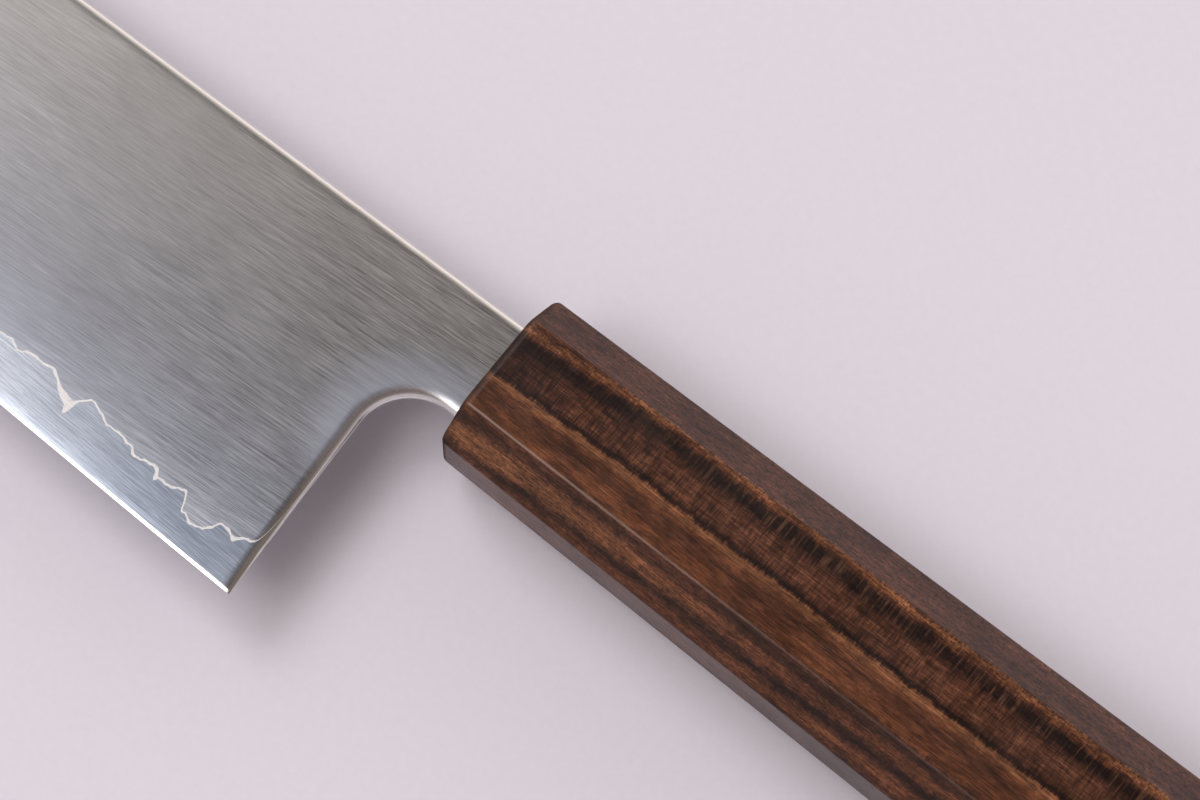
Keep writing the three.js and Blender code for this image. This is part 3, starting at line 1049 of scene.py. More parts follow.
def colour_ramp(tree, value, stops):
    """A colour that changes steadily from stop to stop; a stop is a value and its colour."""
    low, high = stops[0][0], stops[-1][0]
    ramp = add_node(tree, "ValToRGB", {0: fit_range(tree, value, low, high)})
    elements = ramp.color_ramp.elements
    elements.remove(elements[1])
    elements[0].position = 0.0
    elements[0].color = stops[0][1]
    for place, colour in stops[1:]:
        elements.new((place - low) / (high - low)).color = colour
    return ramp.outputs["Color"]


print("node helpers ready")

# %% [markdown]
# ## Groups, materials and coordinates
#
# Effects that several finishes share are node groups. Patterns read object coordinates in metres, so
# Mapping nodes turn them into drawing-board millimetres first, and noise can then be given in cells for
# each millimetre.

# %% Helpers for groups and materials


def new_group(name, inputs, outputs):
    """A shader node group with named inputs (name, kind, value) and outputs (name, kind)."""
    tree = bpy.data.node_groups.new(name, "ShaderNodeTree")
    for label, kind, value in inputs:
        socket = tree.interface.new_socket(label, in_out="INPUT", socket_type="NodeSocket" + kind)
        socket.default_value = value
    for label, kind in outputs:
        tree.interface.new_socket(label, in_out="OUTPUT", socket_type="NodeSocket" + kind)
    return tree, tree.nodes.new("NodeGroupInput").outputs, tree.nodes.new("NodeGroupOutput")


def use_group(tree, group, inputs):
    """Places a group in a graph and returns its outputs."""
    return add_node(tree, "Group", inputs, node_tree=group).outputs


def new_material(name):
    """A material, its graph and its Principled shader."""
    material = bpy.data.materials.new(name)
    material.use_nodes = True
    return material, material.node_tree, material.node_tree.nodes["Principled BSDF"]


def board_coordinates(tree):
    """Object coordinates as drawing-board millimetres, measured from the front of the handle on its axis."""
    place = add_node(tree, "TexCoord").outputs["Object"]
    from_origin = add_node(tree, "Mapping", {"Vector": place, "Location": tuple(-board_origin / MM),
                                             "Scale": (1 / MM,) * 3})
    turn = add_node(tree, "Mapping", {"Vector": from_origin.outputs[0], "Rotation": (0, lay_angle, 0)})
    return turn.outputs[0], add_node(tree, "SeparateXYZ", {0: turn.outputs[0]}).outputs


def stretched_noise(tree, vector, scale, detail=2.0, roughness=0.5, location=(0, 0, 0)):
    """Noise whose cells are drawn out: the scale is in cells for each millimetre along x, y and z."""
    mapped = add_node(tree, "Mapping", {"Vector": vector, "Scale": scale, "Location": location})
    noise = add_node(tree, "TexNoise", {"Vector": mapped.outputs[0], "Scale": 1.0, "Detail": detail,
                                        "Roughness": roughness})
    return noise.outputs["Fac"]


def stored_value(tree, name):
    """A value that was stored at the points of the mesh."""
    return add_node(tree, "Attribute", attribute_name=name).outputs["Fac"]


def relief(tree, height, strength, depth):
    """A normal bent by a height pattern, which stands for a depth in millimetres."""
    return add_node(tree, "Bump", {"Height": height, "Strength": strength, "Distance": depth * MM}).outputs[0]


def dress(material, *pieces):
    """Puts a finish on its pieces."""
    for piece in pieces:
        piece.data.materials.append(material)
    print(material.name, "has", len(material.node_tree.nodes), "nodes")


# %% [markdown]
# ## Brushed lines, a group for every steel
#
# Belt and paper leave fine parallel lines, a little slanted to the blade, some of them longer and deeper.
# All three steels carry them, so they are one node group: stretched noise for the fine lines, a coarser
# noise for broad bands of pressure, and a sharp threshold for single scratches.

# %% Brushed lines group
FINE_CELLS, LONG_CELLS = (0.2, 7.5, 7.5), (0.05, 3.8, 3.8)
BAND_CELLS, SCRATCH_CELLS = (0.02, 0.35, 0.35), (0.12, 5.2, 5.2)
FINE_SHARE, LONG_SHARE = 0.82, 0.18
STROKE_RANGE, SCRATCH_RANGE = (0.35, 0.65), (0.70, 0.76)
SCRATCH_SHIFT = (31, 7, 3)


def brushed_lines_group():
    """Outputs lines and bands around 0.5 and a mask of single scratches."""
    tree, given, out = new_group(
        "brushed_lines",
        [("Vector", "Vector", (0, 0, 0)), ("Fineness", "Float", 1.0), ("Slant", "Float", 0.0)],
        [("Lines", "Float"), ("Bands", "Float"), ("Scratches", "Float")])
    sized = add_node(tree, "VectorMath", {0: given["Vector"], "Scale": given["Fineness"]}, operation="SCALE")
    place = add_node(tree, "SeparateXYZ", {0: sized.outputs[0]}).outputs
    across = minus(tree, place["Y"], times(tree, place["X"], given["Slant"]))
    vector = add_node(tree, "CombineXYZ", {0: place["X"], 1: across, 2: place["Z"]}).outputs[0]
    fine = fit_range(tree, stretched_noise(tree, vector, FINE_CELLS, 3.0, 0.75), *STROKE_RANGE)
    long = fit_range(tree, stretched_noise(tree, vector, LONG_CELLS, 2.0, 0.6), *STROKE_RANGE)
    single = stretched_noise(tree, vector, SCRATCH_CELLS, 1.0, 0.5, location=SCRATCH_SHIFT)
    feed(tree, out, {
        "Lines": plus(tree, times(tree, fine, FINE_SHARE), times(tree, long, LONG_SHARE)),
        "Bands": stretched_noise(tree, vector, BAND_CELLS, 3.0, 0.55),
        "Scratches": fit_range(tree, single, *SCRATCH_RANGE),
    })
    return tree


brushed_lines = brushed_lines_group()
print("brushed lines group has", len(brushed_lines.nodes), "nodes")

# %% [markdown]
# ## Haze, a group for every finish
#
# No finish is even. Faint clouds of handling and wiping change how rough a surface is, and tiny specks
# stand for bubbles. This group is shared by the steels, the wood and the resin.

# %% Haze group
CLOUD_RANGE = (0.3, 0.7)
SPECK_CELLS, SPECK_RANGE = 0.55, (0.02, 0.05)


def haze_group():
    """Outputs soft clouds around 0.5 and a mask of tiny specks."""
    tree, given, out = new_group("haze", [("Vector", "Vector", (0, 0, 0)), ("Size", "Float", 12.0)],
                                 [("Clouds", "Float"), ("Specks", "Float")])
    scale = math_node(tree, "DIVIDE", 1.0, given["Size"])
    clouds = add_node(tree, "TexNoise", {"Vector": given["Vector"], "Scale": scale, "Detail": 3.0})
    specks = add_node(tree, "TexVoronoi", {"Vector": given["Vector"], "Scale": SPECK_CELLS}, feature="F1")
    feed(tree, out, {
        "Clouds": clouds.outputs["Fac"],
        "Specks": fit_range(tree, specks.outputs["Distance"], *SPECK_RANGE, 1.0, 0.0),
    })
    return tree


haze = haze_group()
print("haze group has", len(haze.nodes), "nodes")

# %% [markdown]
# ## Cladding steel
#
# The soft steel is a warm mid grey with a hairline finish: anisotropic, because each fine groove spreads
# light across itself. Reflected light is painted into the grey: it turns cooler and then brighter down to
# the weld line, and painted glints make the lines stronger toward the heel. A soft painted highlight
# brightens the face around the choil. On the buffed rims the lines fade and the steel is smoother.

# %% Cladding finish
CLAD_DARK, CLAD_PALE = (0.31, 0.304, 0.30, 1), (0.92, 0.902, 0.89, 1)
CLAD_SCRATCH = (0.8, 0.8, 0.8, 1)
# Painted highlight: the bluish tone that brightens the face around the choil.
CHOIL_HIGHLIGHT_TONE = (0.78, 0.83, 0.98, 1)
BUFFED_TONE = (0.80, 0.77, 0.735, 1)
# Painted reflection: tones by height on the face, cool and bright near the weld line, warm toward the spine.
PAINTED_REFLECTION_TONES = [
    (-38.0, (0.98, 1.03, 1.20, 1)), (-31.0, (0.68, 0.725, 0.85, 1)), (-22.0, (0.66, 0.675, 0.74, 1)),
    (-8.0, (0.79, 0.783, 0.81, 1)), (7.0, (0.885, 0.867, 0.842, 1)),
]
# Painted glints: the contrast of the real hairlines grows from the tip side toward the heel.
LINE_GLINT_CONTRAST = (-50.0, -8.0, 0.55, 1.6)
LINE_SHARE, BAND_SHARE, TONE_REACH = 0.88, 0.12, 0.7
SCRATCH_SHARE, CHOIL_HIGHLIGHT_SHARE, BUFFED_SHARE = 0.35, 0.6, 0.7
CLAD_ROUGH, LINE_ROUGH, BUFFED_SMOOTH = (0.278, 0.298), 0.02, 0.09
CLAD_SLANT, CLAD_SPREAD = 0.07, 0.6
QUARTER_TURN = 0.25
GROOVE_DEPTH = 0.02


def steel_tangent(tree, shader, amount):
    """Brushed metal: the highlight spreads across the lines, a quarter turn from the map's u direction."""
    tangent = add_node(tree, "Tangent", direction_type="UV_MAP", uv_map="along_blade").outputs[0]
    feed(tree, shader, {"Tangent": tangent, "Anisotropic": amount, "Anisotropic Rotation": QUARTER_TURN})


def cladding_material():
    """Hairline steel: grey by lines, bands and scratches, rough by clouds, smooth where it was buffed."""
    material, tree, shader = new_material("hairline_cladding_steel")
    vector, place = board_coordinates(tree)
    lines = use_group(tree, brushed_lines, {"Vector": vector, "Fineness": 1.0, "Slant": CLAD_SLANT})
    cloud = use_group(tree, haze, {"Vector": vector, "Size": 14.0})
    polish, choil_highlight = stored_value(tree, "polish"), stored_value(tree, "choil_highlight")
    brushed = minus(tree, 1.0, polish)
    tone = plus(tree, times(tree, lines["Lines"], LINE_SHARE), times(tree, lines["Bands"], BAND_SHARE))
    # painted glints: the lines' contrast grows toward the heel
    glint_contrast = fit_range(tree, place["X"], *LINE_GLINT_CONTRAST)
    tone = times(tree, minus(tree, tone, 0.5), glint_contrast)
    grey = mix_colour(tree, fit_range(tree, tone, -TONE_REACH, TONE_REACH), CLAD_DARK, CLAD_PALE)
    # painted reflection: the grey is tinted by height on the face
    grey = mix_colour(tree, 1.0, grey, colour_ramp(tree, place["Y"], PAINTED_REFLECTION_TONES), "MULTIPLY")
    scratched = times(tree, lines["Scratches"], times(tree, brushed, SCRATCH_SHARE))
    grey = mix_colour(tree, scratched, grey, CLAD_SCRATCH)
    # painted highlight around the choil
    grey = mix_colour(tree, times(tree, choil_highlight, CHOIL_HIGHLIGHT_SHARE), grey, CHOIL_HIGHLIGHT_TONE)
    grey = mix_colour(tree, times(tree, polish, BUFFED_SHARE), grey, BUFFED_TONE)
    rough = fit_range(tree, cloud["Clouds"], *CLOUD_RANGE, *CLAD_ROUGH)
    rough = plus(tree, rough, times(tree, lines["Lines"], LINE_ROUGH))
    rough = minus(tree, rough, times(tree, polish, BUFFED_SMOOTH))
    grooves = relief(tree, times(tree, lines["Lines"], brushed), 0.12, GROOVE_DEPTH)
    feed(tree, shader, {"Base Color": grey, "Roughness": rough, "Metallic": 1.0, "Normal": grooves})
    steel_tangent(tree, shader, CLAD_SPREAD)
    return material


dress(cladding_material(), *claddings)

# %% [markdown]
# ## Core steel
#
# Below the weld line the harder core takes a finer finish. Cool reflected light is painted into its grey, a
# little blue: dull near the heel and brighter ahead. The last 0.4 mm are the sharpened bevel, polished
# smoother. It is a facet of its own in the mesh, so a stored value marks it.

# %% Core finish
# Painted reflection: cool, bluish tones of the core, dim near the heel and bright ahead.
CORE_DIM_REFLECTION = (0.32, 0.36, 0.455, 1), (0.575, 0.64, 0.775, 1)
CORE_BRIGHT_REFLECTION = (0.53, 0.57, 0.67, 1), (0.845, 0.905, 1.0, 1)
DIM_REFLECTION_UNTIL, BRIGHT_REFLECTION_FROM = -22.0, -50.0
CORE_SCRATCH = (0.82, 0.84, 0.86, 1)
BEVEL_TONE = (0.80, 0.80, 0.79, 1)
CORE_SCRATCH_SHARE = 0.3
CORE_ROUGH, BEVEL_SMOOTH = (0.28, 0.30), 0.11
CORE_SLANT, CORE_SPREAD = -0.02, 0.5
LINE_RANGE = (0.2, 0.8)
BEVEL_MARGIN = 1.04


def mark_bevel(mesh):
    """Value 1 on the sharpened bevel, 0 above its shoulder."""
    places = places_of(mesh)
    height = places[:, 1] - edge_y(places[:, 0])
    ahead = places[:, 0] < heel[0] + BEVEL_HEIGHT
    store_value(mesh, "bevel", (height < BEVEL_HEIGHT * BEVEL_MARGIN) & ahead)


def core_material():
    """Satin steel with finer lines and a painted cool reflection, polished on the bevel and on the buffed
    rims.
    """
    material, tree, shader = new_material("core_steel_satin")
    vector, place = board_coordinates(tree)
    lines = use_group(tree, brushed_lines, {"Vector": vector, "Fineness": 1.2, "Slant": CORE_SLANT})
    cloud = use_group(tree, haze, {"Vector": vector, "Size": 6.0})
    smooth = math_node(tree, "MAXIMUM", stored_value(tree, "bevel"), stored_value(tree, "polish"))
    tone = fit_range(tree, lines["Lines"], *LINE_RANGE)
    # painted reflection: dim near the heel, brighter toward the tip
    dull, bright = mix_colour(tree, tone, *CORE_DIM_REFLECTION), mix_colour(tree, tone, *CORE_BRIGHT_REFLECTION)
    grey = mix_colour(tree, fit_range(tree, place["X"], DIM_REFLECTION_UNTIL, BRIGHT_REFLECTION_FROM), dull, bright)
    grey = mix_colour(tree, times(tree, lines["Scratches"], CORE_SCRATCH_SHARE), grey, CORE_SCRATCH)
    grey = mix_colour(tree, smooth, grey, BEVEL_TONE)
    rough = fit_range(tree, cloud["Clouds"], *CLOUD_RANGE, *CORE_ROUGH)
    rough = minus(tree, rough, times(tree, smooth, BEVEL_SMOOTH))
    grooves = relief(tree, lines["Lines"], 0.08, GROOVE_DEPTH)
    feed(tree, shader, {"Base Color": grey, "Roughness": rough, "Metallic": 1.0, "Normal": grooves})
    steel_tangent(tree, shader, CORE_SPREAD)
    return material


mark_bevel(core.data)
dress(core_material(), core)

# %% [markdown]
# ## Bright weld line
#
# The line is a pale, nearly neutral metal with a broken grain: small grey islands show through where the
# layer was torn. It is duller than the steels beside it, so it stays pale from every side.

# %% Weld line finish
LINE_TONES = (0.63, 0.615, 0.61, 1), (0.725, 0.71, 0.71, 1)
TORN_TONE = (0.50, 0.50, 0.52, 1)
GRAIN_CELLS, TORN_RANGE, TORN_SHARE = (2.2, 4.0, 4.0), (0.50, 0.66), 0.5
FOIL_ROUGH, FOIL_METAL = (0.42, 0.55), 0.55


def weld_line_material():
    """Pale metal, mottled by fine noise and rougher than the steels beside it."""
    material, tree, shader = new_material("pale_weld_line")
    vector, _ = board_coordinates(tree)
    lines = use_group(tree, brushed_lines, {"Vector": vector, "Fineness": 1.5})
    grain = stretched_noise(tree, vector, GRAIN_CELLS, 3.0, 0.6)
    torn = fit_range(tree, grain, *TORN_RANGE)
    pale = mix_colour(tree, fit_range(tree, lines["Lines"], *LINE_RANGE), *LINE_TONES)
    pale = mix_colour(tree, times(tree, torn, TORN_SHARE), pale, TORN_TONE)
    rough = fit_range(tree, grain, *CLOUD_RANGE, *FOIL_ROUGH)
    grooves = relief(tree, grain, 0.15, GROOVE_DEPTH)
    feed(tree, shader, {"Base Color": pale, "Roughness": rough, "Metallic": FOIL_METAL, "Normal": grooves})
    return material


dress(weld_line_material(), *bright_layers)

# %% [markdown]
# ## Growth layers of the wood
#
# The wood is dark and figured, cut so that the growth layers run along the handle and show on its sides as
# stripes: near black, dark brown, red brown and gold. The pattern is solid, worked out in all three
# directions, so each facet and the end grain fit together without a map. A layer is a stop in a ramp over
# the height across the layers; waves, tufts and ragged teeth bend that height.

# %% Colours and height of the growth layers
WOOD_BLACK = (0.014, 0.0056, 0.0039, 1)
WOOD_DARK = (0.042, 0.0157, 0.0090, 1)
WOOD_BROWN = (0.065, 0.0244, 0.0132, 1)
WOOD_RED = (0.104, 0.0362, 0.0163, 1)
WOOD_GOLD = (0.172, 0.070, 0.032, 1)
GROWTH_LAYERS = [
    (-12.5, WOOD_DARK), (-11.0, WOOD_RED), (-10.5, WOOD_BROWN), (-10.0, WOOD_BLACK), (-9.5, WOOD_DARK),
    (-9.1, WOOD_RED), (-8.5, WOOD_RED), (-8.0, WOOD_DARK), (-7.4, WOOD_DARK), (-6.9, WOOD_BROWN),
    (-6.3, WOOD_RED), (-5.0, WOOD_RED), (-3.6, WOOD_BROWN), (-2.4, WOOD_RED), (-1.9, WOOD_GOLD),
    (-1.5, WOOD_GOLD), (-1.1, WOOD_DARK), (-0.9, WOOD_BLACK), (-0.6, WOOD_BLACK), (-0.3, WOOD_DARK),
    (0.3, WOOD_BROWN), (2.8, WOOD_BROWN), (3.7, WOOD_DARK), (4.2, WOOD_BLACK), (5.4, WOOD_BLACK),
    (5.8, WOOD_BROWN), (6.2, WOOD_RED), (6.6, WOOD_GOLD), (7.0, WOOD_BROWN), (12.5, WOOD_BROWN),
]
FRONT_DROP, FRONT_FADE = 2.0, 18.0
WAVE_CELLS, TUFT_CELLS, TOOTH_CELLS = (0.03, 0.05, 0.05), (0.8, 0.25, 0.25), (3.6, 0.2, 0.2)
WAVE_HEIGHT, TUFT_HEIGHT, TOOTH_HEIGHT = (-0.75, 0.05), (-0.3, 0.3), (-0.6, 0.6)
UPPER_DROP, UPPER_TEETH = (-1.0, 4.0, 0.45, 1.0), (-2.0, 1.0, 0.35, 1.0)
WIDE_RANGE = (0.25, 0.75)


def growth_height(tree, vector, place):
    """Height across the growth layers: y, with the layers dropping toward the front as an exponential, most
    in the upper half, bent by slow waves, and cut into ragged teeth that are longest in the upper half."""
    drop = math_node(tree, "EXPONENT", math_node(tree, "DIVIDE", place["X"], -FRONT_FADE))
    drop = times(tree, drop, fit_range(tree, place["Y"], *UPPER_DROP))
    height = plus(tree, place["Y"], times(tree, drop, FRONT_DROP))
    wave = stretched_noise(tree, vector, WAVE_CELLS, 2.0, 0.5)
    height = plus(tree, height, fit_range(tree, wave, *WIDE_RANGE, *WAVE_HEIGHT))
    tufts = stretched_noise(tree, vector, TUFT_CELLS, 3.0, 0.6)
    height = plus(tree, height, fit_range(tree, tufts, *WIDE_RANGE, *TUFT_HEIGHT))
    teeth = stretched_noise(tree, vector, TOOTH_CELLS, 3.0, 0.7)
    teeth = fit_range(tree, teeth, *WIDE_RANGE, *TOOTH_HEIGHT)
    teeth = times(tree, teeth, fit_range(tree, place["Y"], *UPPER_TEETH))
    return plus(tree, height, teeth)


def layer_mask(tree, height, middle, half, fade):
    """1 within half a width of a layer's middle, and 0 past a soft fade."""
    gap = math_node(tree, "ABSOLUTE", minus(tree, height, middle))
    return fit_range(tree, gap, half, half + fade, 1.0, 0.0, smooth=True)


print(len(GROWTH_LAYERS), "stops from layer to layer")

# %% [markdown]
# ## Figure of the wood
#
# Over the layers lie softer and finer marks: clouds, long fibres, a comb of fine strokes where rays are
# cut across, pale ticks that cross the black layer like the rungs of a ladder, and short dark flecks. Each
# tints the colour under it by a factor around 1, most where its own layer lies. A layer is given by the
# height of its middle, half its width and its fade.

# %% Rays, fibres and flecks
WOOD_RAY = (0.125, 0.058, 0.031, 1)
COMB_LAYER, TICK_LAYER = (2.3, 2.7, 1.2), (4.7, 0.7, 0.7)
DARK_FRONT, PALE_STREAK, CALM_LAYER = (2.4, 2.8, 1.0), (-8.8, 0.3, 1.3), (-3.8, 2.2, 1.2)
COMB_CELLS, PATCH_CELLS = (3.6, 0.35, 0.35), (0.16, 0.35, 0.3)
TICK_CELLS, BREAK_CELLS, BREAK_SHIFT = (3.0, 0.09, 0.09), (0.5, 0.6, 0.6), (5, 3, 1)
CLOUD_CELLS, MOTTLE_CELLS = (0.1, 0.3, 0.3), (0.4, 1.3, 1.3)
FIBRE_CELLS, FLECK_CELLS = (0.24, 6.0, 6.0), (1.6, 5.2, 5.2)
PATCH_RANGE, BREAK_RANGE = (0.35, 0.6, 0.35, 1.0), (0.38, 0.6, 0.15, 1.0)
TICK_RANGE, TICK_GROWTH = (0.53, 0.61), (14.0, 38.0, 0.1, 0.6)
COMB_CALM, LAYER_CALM, UPPER_FLECKS = 0.6, 0.4, (7.0, 8.0, 0.0, 0.5)
FRONT_RANGE, FRONT_SHARE, PALE_RANGE = (2.0, 15.0, 1.0, 0.0), 0.7, (5.0, 50.0, 0.9, 0.0)
TINT_RANGE = (0.36, 0.64)
CLOUD_TINT, MOTTLE_TINT, FIBRE_TINT = (0.75, 1.3), (0.65, 1.3), (0.45, 1.55)
COMB_TINT, FLECK_TINT = (0.35, 1.8), (1.55, 0.4)


def tint(tree, colour, pattern, low, high, share=1.0):
    """A colour made darker or lighter by a pattern: its middle range becomes a factor from low to high, and
    the factor acts by a share."""
    change = fit_range(tree, pattern, *TINT_RANGE, low - 1, high - 1)
    factor = plus(tree, times(tree, change, share), 1.0)
    grey = add_node(tree, "CombineColor", {0: factor, 1: factor, 2: factor}).outputs[0]
    return mix_colour(tree, 1.0, colour, grey, "MULTIPLY")


def comb_marks(tree, vector, height):
    """Rays cut across: a comb of fine strokes, and its share, in patches of one layer."""
    comb = stretched_noise(tree, vector, COMB_CELLS, 3.0, 0.7)
    patches = fit_range(tree, stretched_noise(tree, vector, PATCH_CELLS, 2.0), *PATCH_RANGE)
    return comb, times(tree, patches, layer_mask(tree, height, *COMB_LAYER))


def tick_marks(tree, vector, height, place):
    """Pale ticks across the black layer, broken by a slower noise and growing clearer away from the front."""
    ticks = fit_range(tree, stretched_noise(tree, vector, TICK_CELLS, 2.0, 0.5), *TICK_RANGE)
    ticks = times(tree, ticks, fit_range(tree, place["X"], *TICK_GROWTH))
    ticks = times(tree, ticks, layer_mask(tree, height, *TICK_LAYER))
    broken = stretched_noise(tree, vector, BREAK_CELLS, 2.0, 0.6, location=BREAK_SHIFT)
    return times(tree, ticks, fit_range(tree, broken, *BREAK_RANGE))


def fleck_share(tree, height, place, comb_share):
    """How much the flecks act: less where the comb is and in a calm layer, more on the uppermost facet."""
    plain = minus(tree, 1.0, times(tree, comb_share, COMB_CALM))
    plain = minus(tree, plain, times(tree, layer_mask(tree, height, *CALM_LAYER), LAYER_CALM))
    return plus(tree, plain, fit_range(tree, place["Y"], *UPPER_FLECKS))


def wood_colour(tree, vector, place):
    """Growth colours, dark at the front, under clouds, fibres, rays and flecks; also gives the fibres."""
    height = growth_height(tree, vector, place)
    colour = colour_ramp(tree, height, GROWTH_LAYERS)
    front = fit_range(tree, place["X"], *FRONT_RANGE, smooth=True)
    front = times(tree, front, layer_mask(tree, height, *DARK_FRONT))
    colour = mix_colour(tree, times(tree, front, FRONT_SHARE), colour, WOOD_BLACK)
    pale_end = fit_range(tree, place["X"], *PALE_RANGE)
    pale_end = times(tree, pale_end, layer_mask(tree, height, *PALE_STREAK))
    colour = mix_colour(tree, pale_end, colour, WOOD_GOLD)
    colour = tint(tree, colour, stretched_noise(tree, vector, CLOUD_CELLS, 3.0), *CLOUD_TINT)
    colour = tint(tree, colour, stretched_noise(tree, vector, MOTTLE_CELLS, 3.0, 0.6), *MOTTLE_TINT)
    fibre = stretched_noise(tree, vector, FIBRE_CELLS, 4.0, 0.75)
    colour = tint(tree, colour, fibre, *FIBRE_TINT)
    comb, comb_share = comb_marks(tree, vector, height)
    colour = tint(tree, colour, comb, *COMB_TINT, comb_share)
    flecks = stretched_noise(tree, vector, FLECK_CELLS, 3.0, 0.7)
    colour = tint(tree, colour, flecks, *FLECK_TINT, fleck_share(tree, height, place, comb_share))
    return mix_colour(tree, tick_marks(tree, vector, height, place), colour, WOOD_RAY), fibre


print("the comb lies", COMB_LAYER[0], "mm and the ticks", TICK_LAYER[0], "mm above the handle's axis")

# %% [markdown]
# ## Oiled surface of the handle
#
# Thin oil leaves a low sheen on the wood. Fine pores stay open and dark, a pale highlight is painted on the
# arris below each side facet, strongest near the front, and the front end, where the grain is cut, is
# darker and dull.

# %% Wood finish
# The pale arris tone is a painted highlight.
ARRIS_HIGHLIGHT_TONE = (0.30, 0.20, 0.165, 1)
PORE_CELLS, PORE_RANGE = (0.7, 6.0, 6.0), (0.64, 0.72)
PORE_SHARE, PORE_ROUGH, PORE_DEPTH = 0.6, 0.15, 0.04
ARRIS_HIGHLIGHT_RANGE = (5.0, 50.0, 0.7, 0.08)
END_RANGE, END_SHARE, END_ROUGH = (0.2, 1.1, 1.0, 0.0), 0.6, 0.6
OIL_ROUGH, OIL_SHEEN = (0.30, 0.37), 0.26


def wood_material():
    """Figured wood with fine dark pores, under thin oil."""
    material, tree, shader = new_material("oiled_figured_wood")
    vector, place = board_coordinates(tree)
    colour, fibre = wood_colour(tree, vector, place)
    pores = fit_range(tree, stretched_noise(tree, vector, PORE_CELLS, 1.0, 0.4), *PORE_RANGE)
    colour = mix_colour(tree, times(tree, pores, PORE_SHARE), colour, WOOD_BLACK)
    # painted highlight: a pale line on the arris below each side facet, fading toward the butt
    arris_highlight = times(tree, stored_value(tree, "arris"), fit_range(tree, place["X"], *ARRIS_HIGHLIGHT_RANGE))
    colour = mix_colour(tree, arris_highlight, colour, ARRIS_HIGHLIGHT_TONE)
    # the front end is darker and duller
    front_end = fit_range(tree, place["X"], *END_RANGE)
    colour = mix_colour(tree, times(tree, front_end, END_SHARE), colour, WOOD_BLACK)
    cloud = use_group(tree, haze, {"Vector": vector, "Size": 9.0})
    rough = fit_range(tree, cloud["Clouds"], *CLOUD_RANGE, *OIL_ROUGH)
    rough = plus(tree, rough, times(tree, pores, PORE_ROUGH))
    rough = plus(tree, rough, times(tree, front_end, END_ROUGH))
    grain = relief(tree, minus(tree, fibre, pores), 0.15, PORE_DEPTH)
    feed(tree, shader, {"Base Color": colour, "Roughness": rough, "Normal": grain,
                        "Specular IOR Level": OIL_SHEEN})
    return material


dress(wood_material(), handle)

# %% [markdown]
# ## Bedding resin
#
# The resin is dark, matt and slightly cloudy, with small bubbles.

# %% Resin finish
RESIN_DARK, RESIN_BROWN = (0.010, 0.007, 0.006, 1), (0.030, 0.020, 0.015, 1)
RESIN_ROUGH, BUBBLE_DEPTH = (0.45, 0.65), 0.03


def resin_material():
    """Dark matt resin: two browns mixed by clouds, with specks as small bubbles."""
    material, tree, shader = new_material("dark_bedding_resin")
    vector, _ = board_coordinates(tree)
    cloud = use_group(tree, haze, {"Vector": vector, "Size": 1.5})
    colour = mix_colour(tree, cloud["Clouds"], RESIN_DARK, RESIN_BROWN)
    rough = fit_range(tree, cloud["Clouds"], *CLOUD_RANGE, *RESIN_ROUGH)
    bubbles = relief(tree, cloud["Specks"], 0.2, BUBBLE_DEPTH)
    feed(tree, shader, {"Base Color": colour, "Roughness": rough, "Normal": bubbles})
    return material


dress(resin_material(), bedding)

# %% [markdown]
# ## Floor
#
# The knife lies on a pale, faintly violet sheet with a very fine fibre. It is scenery and stays out of the
# part.

# %% Floor
FLOOR_HALF = 4.0
SHEET_TONES = (0.695, 0.662, 0.73, 1), (0.74, 0.705, 0.777, 1)
SHEET_FIBRE = 900.0


def floor_material():
    """Pale sheet with a very faint fibre."""
    material, tree, shader = new_material("pale_sheet")
    place = add_node(tree, "TexCoord").outputs["Object"]
    fibre = add_node(tree, "TexNoise", {"Vector": place, "Scale": SHEET_FIBRE, "Detail": 4.0}).outputs["Fac"]
    colour = mix_colour(tree, fibre, *SHEET_TONES)
    feed(tree, shader, {"Base Color": colour, "Roughness": 0.8, "Specular IOR Level": 0.2})
    return material


floor_mesh = bpy.data.meshes.new("floor")
floor_corners = [(x * FLOOR_HALF, y * FLOOR_HALF, 0) for x, y in ((-1, -1), (1, -1), (1, 1), (-1, 1))]
floor_mesh.from_pydata(floor_corners, [], [(0, 1, 2, 3)])
floor = bpy.data.objects.new("floor", floor_mesh)
bpy.context.scene.collection.objects.link(floor)
dress(floor_material(), floor)

# %% [markdown]
# ## Light
#
# Polished steel shows whatever light stands around it, so the light is a dome painted by direction: a dark
# ground, a low glow all round, a stronger warm one on the side of the spine, a band on the side of the
# edge, a faint one toward the butt and overhead, and three soft lamps beyond the tip and the edge that the
# blade mirrors. Area lamps could light it too, but the dome has no hard borders to show in the blade. A
# glow has a side, as an azimuth, how it spreads from there, and the heights between which it rises and
# fades.

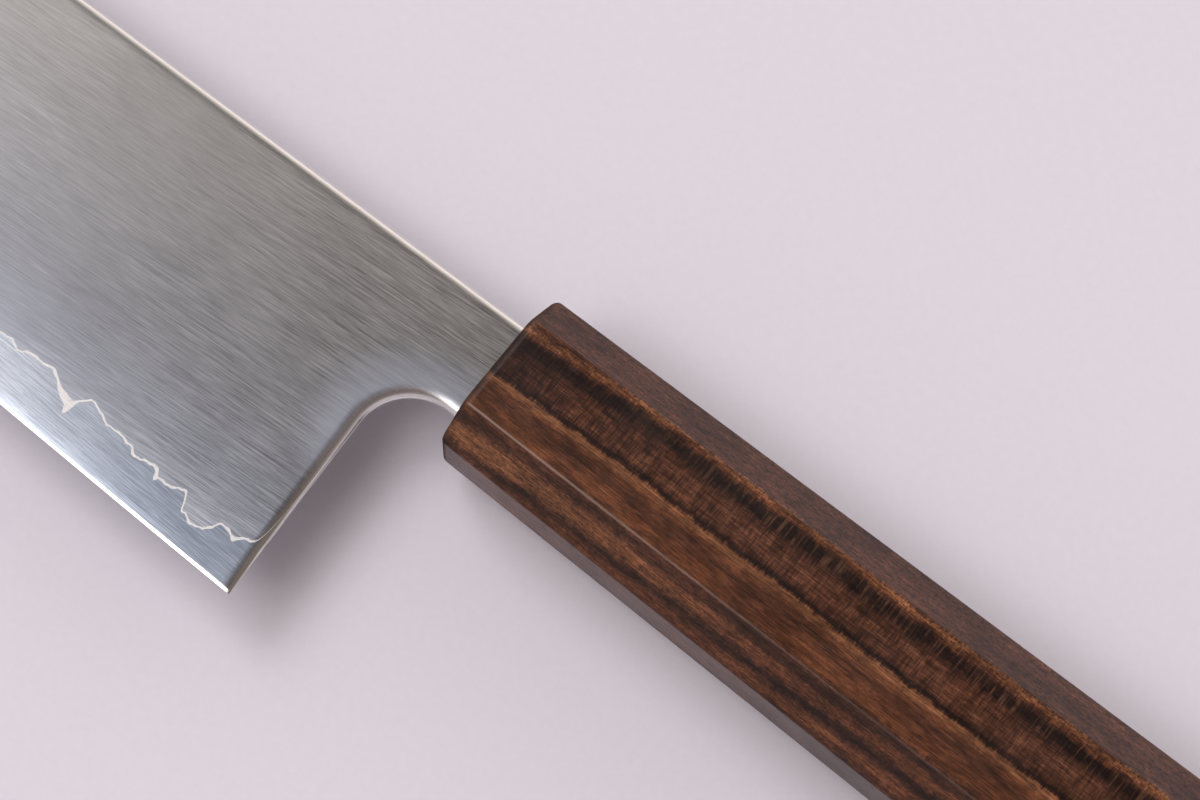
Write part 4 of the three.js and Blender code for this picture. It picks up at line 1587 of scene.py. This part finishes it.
# %% Light dome
BASE_LIGHT = (0.026, 0.024, 0.026)
GLOWS = [
    {"colour": (0.40, 0.37, 0.38), "side": 0.0, "spread": (-3.0, -2.0),
     "rise": (-1.0, 0.0), "fade": (0.25, 0.55)},
    {"colour": (0.90, 0.83, 0.79), "side": 118.0, "spread": (-0.5, 0.6),
     "rise": (-1.0, 0.0), "fade": (0.45, 0.86)},
    {"colour": (0.33, 0.31, 0.33), "side": 295.0, "spread": (0.0, 0.5),
     "rise": (0.1, 0.4), "fade": (0.55, 0.8)},
    {"colour": (0.17, 0.13, 0.11), "side": 340.0, "spread": (-0.14, 0.08),
     "rise": (0.1, 0.6), "fade": (2.0, 3.0)},
]
BACKDROP = (0.78, 0.72, 0.77, 1)
LAMP_MIDDLE = 0.25
LAMPS = [
    {"colour": (7.1, 6.95, 7.0), "azimuth": 166.0, "elevation": 47.4, "reach": 21.4},
    {"colour": (3.5, 3.4, 3.35), "azimuth": 213.7, "elevation": 54.7, "reach": 26.9},
    {"colour": (2.3, 2.2, 2.15), "azimuth": 245.0, "elevation": 58.0, "reach": 18.0},
]


def aim(azimuth, elevation):
    """The unit direction at an azimuth from +x and an elevation, both in degrees."""
    turn, rise = math.radians(azimuth), math.radians(elevation)
    return math.cos(turn) * math.cos(rise), math.sin(turn) * math.cos(rise), math.sin(rise)


def toward(tree, way, azimuth, elevation):
    """Cosine of the angle between the way looked at and a direction."""
    inputs = {0: way, 1: aim(azimuth, elevation)}
    return add_node(tree, "VectorMath", inputs, operation="DOT_PRODUCT").outputs["Value"]


def shone(tree, light, colour, share):
    """The light so far plus a colour by its share."""
    more = add_node(tree, "VectorMath", {0: colour, "Scale": share}, operation="SCALE").outputs[0]
    return add_node(tree, "VectorMath", {0: light, 1: more}, operation="ADD").outputs[0]


def glow_share(tree, way, height, glow):
    """A band between two heights, strongest on its side."""
    above = fit_range(tree, height, *glow["rise"], smooth=True)
    below = fit_range(tree, height, *glow["fade"], 1.0, 0.0, smooth=True)
    side = fit_range(tree, toward(tree, way, glow["side"], 0.0), *glow["spread"], smooth=True)
    return times(tree, times(tree, above, below), side)


def lamp_share(tree, way, lamp):
    """1 in the middle of a lamp, falling smoothly to 0 at its reach."""
    angle = math_node(tree, "ARCCOSINE", toward(tree, way, lamp["azimuth"], lamp["elevation"]))
    reach = math.radians(lamp["reach"])
    return fit_range(tree, angle, LAMP_MIDDLE * reach, reach, 1.0, 0.0, smooth=True)


def studio_world():
    """The dome: base light, glows by side and height, and lamps, with a plain pale backdrop for the eye."""
    world = bpy.data.worlds.new("studio")
    world.use_nodes = True
    tree = world.node_tree
    way = add_node(tree, "TexCoord").outputs["Generated"]
    height = add_node(tree, "SeparateXYZ", {0: way}).outputs["Z"]
    light = add_node(tree, "CombineXYZ", dict(enumerate(BASE_LIGHT))).outputs[0]
    for glow in GLOWS:
        light = shone(tree, light, glow["colour"], glow_share(tree, way, height, glow))
    for lamp in LAMPS:
        light = shone(tree, light, lamp["colour"], lamp_share(tree, way, lamp))
    seen = add_node(tree, "LightPath").outputs["Is Camera Ray"]
    feed(tree, tree.nodes["Background"], {"Color": mix_colour(tree, seen, light, BACKDROP)})
    return world


bpy.context.scene.world = studio_world()
bpy.context.scene.view_settings.view_transform = "Standard"
print(len(GLOWS), "glows and", len(LAMPS), "lamps in the dome")
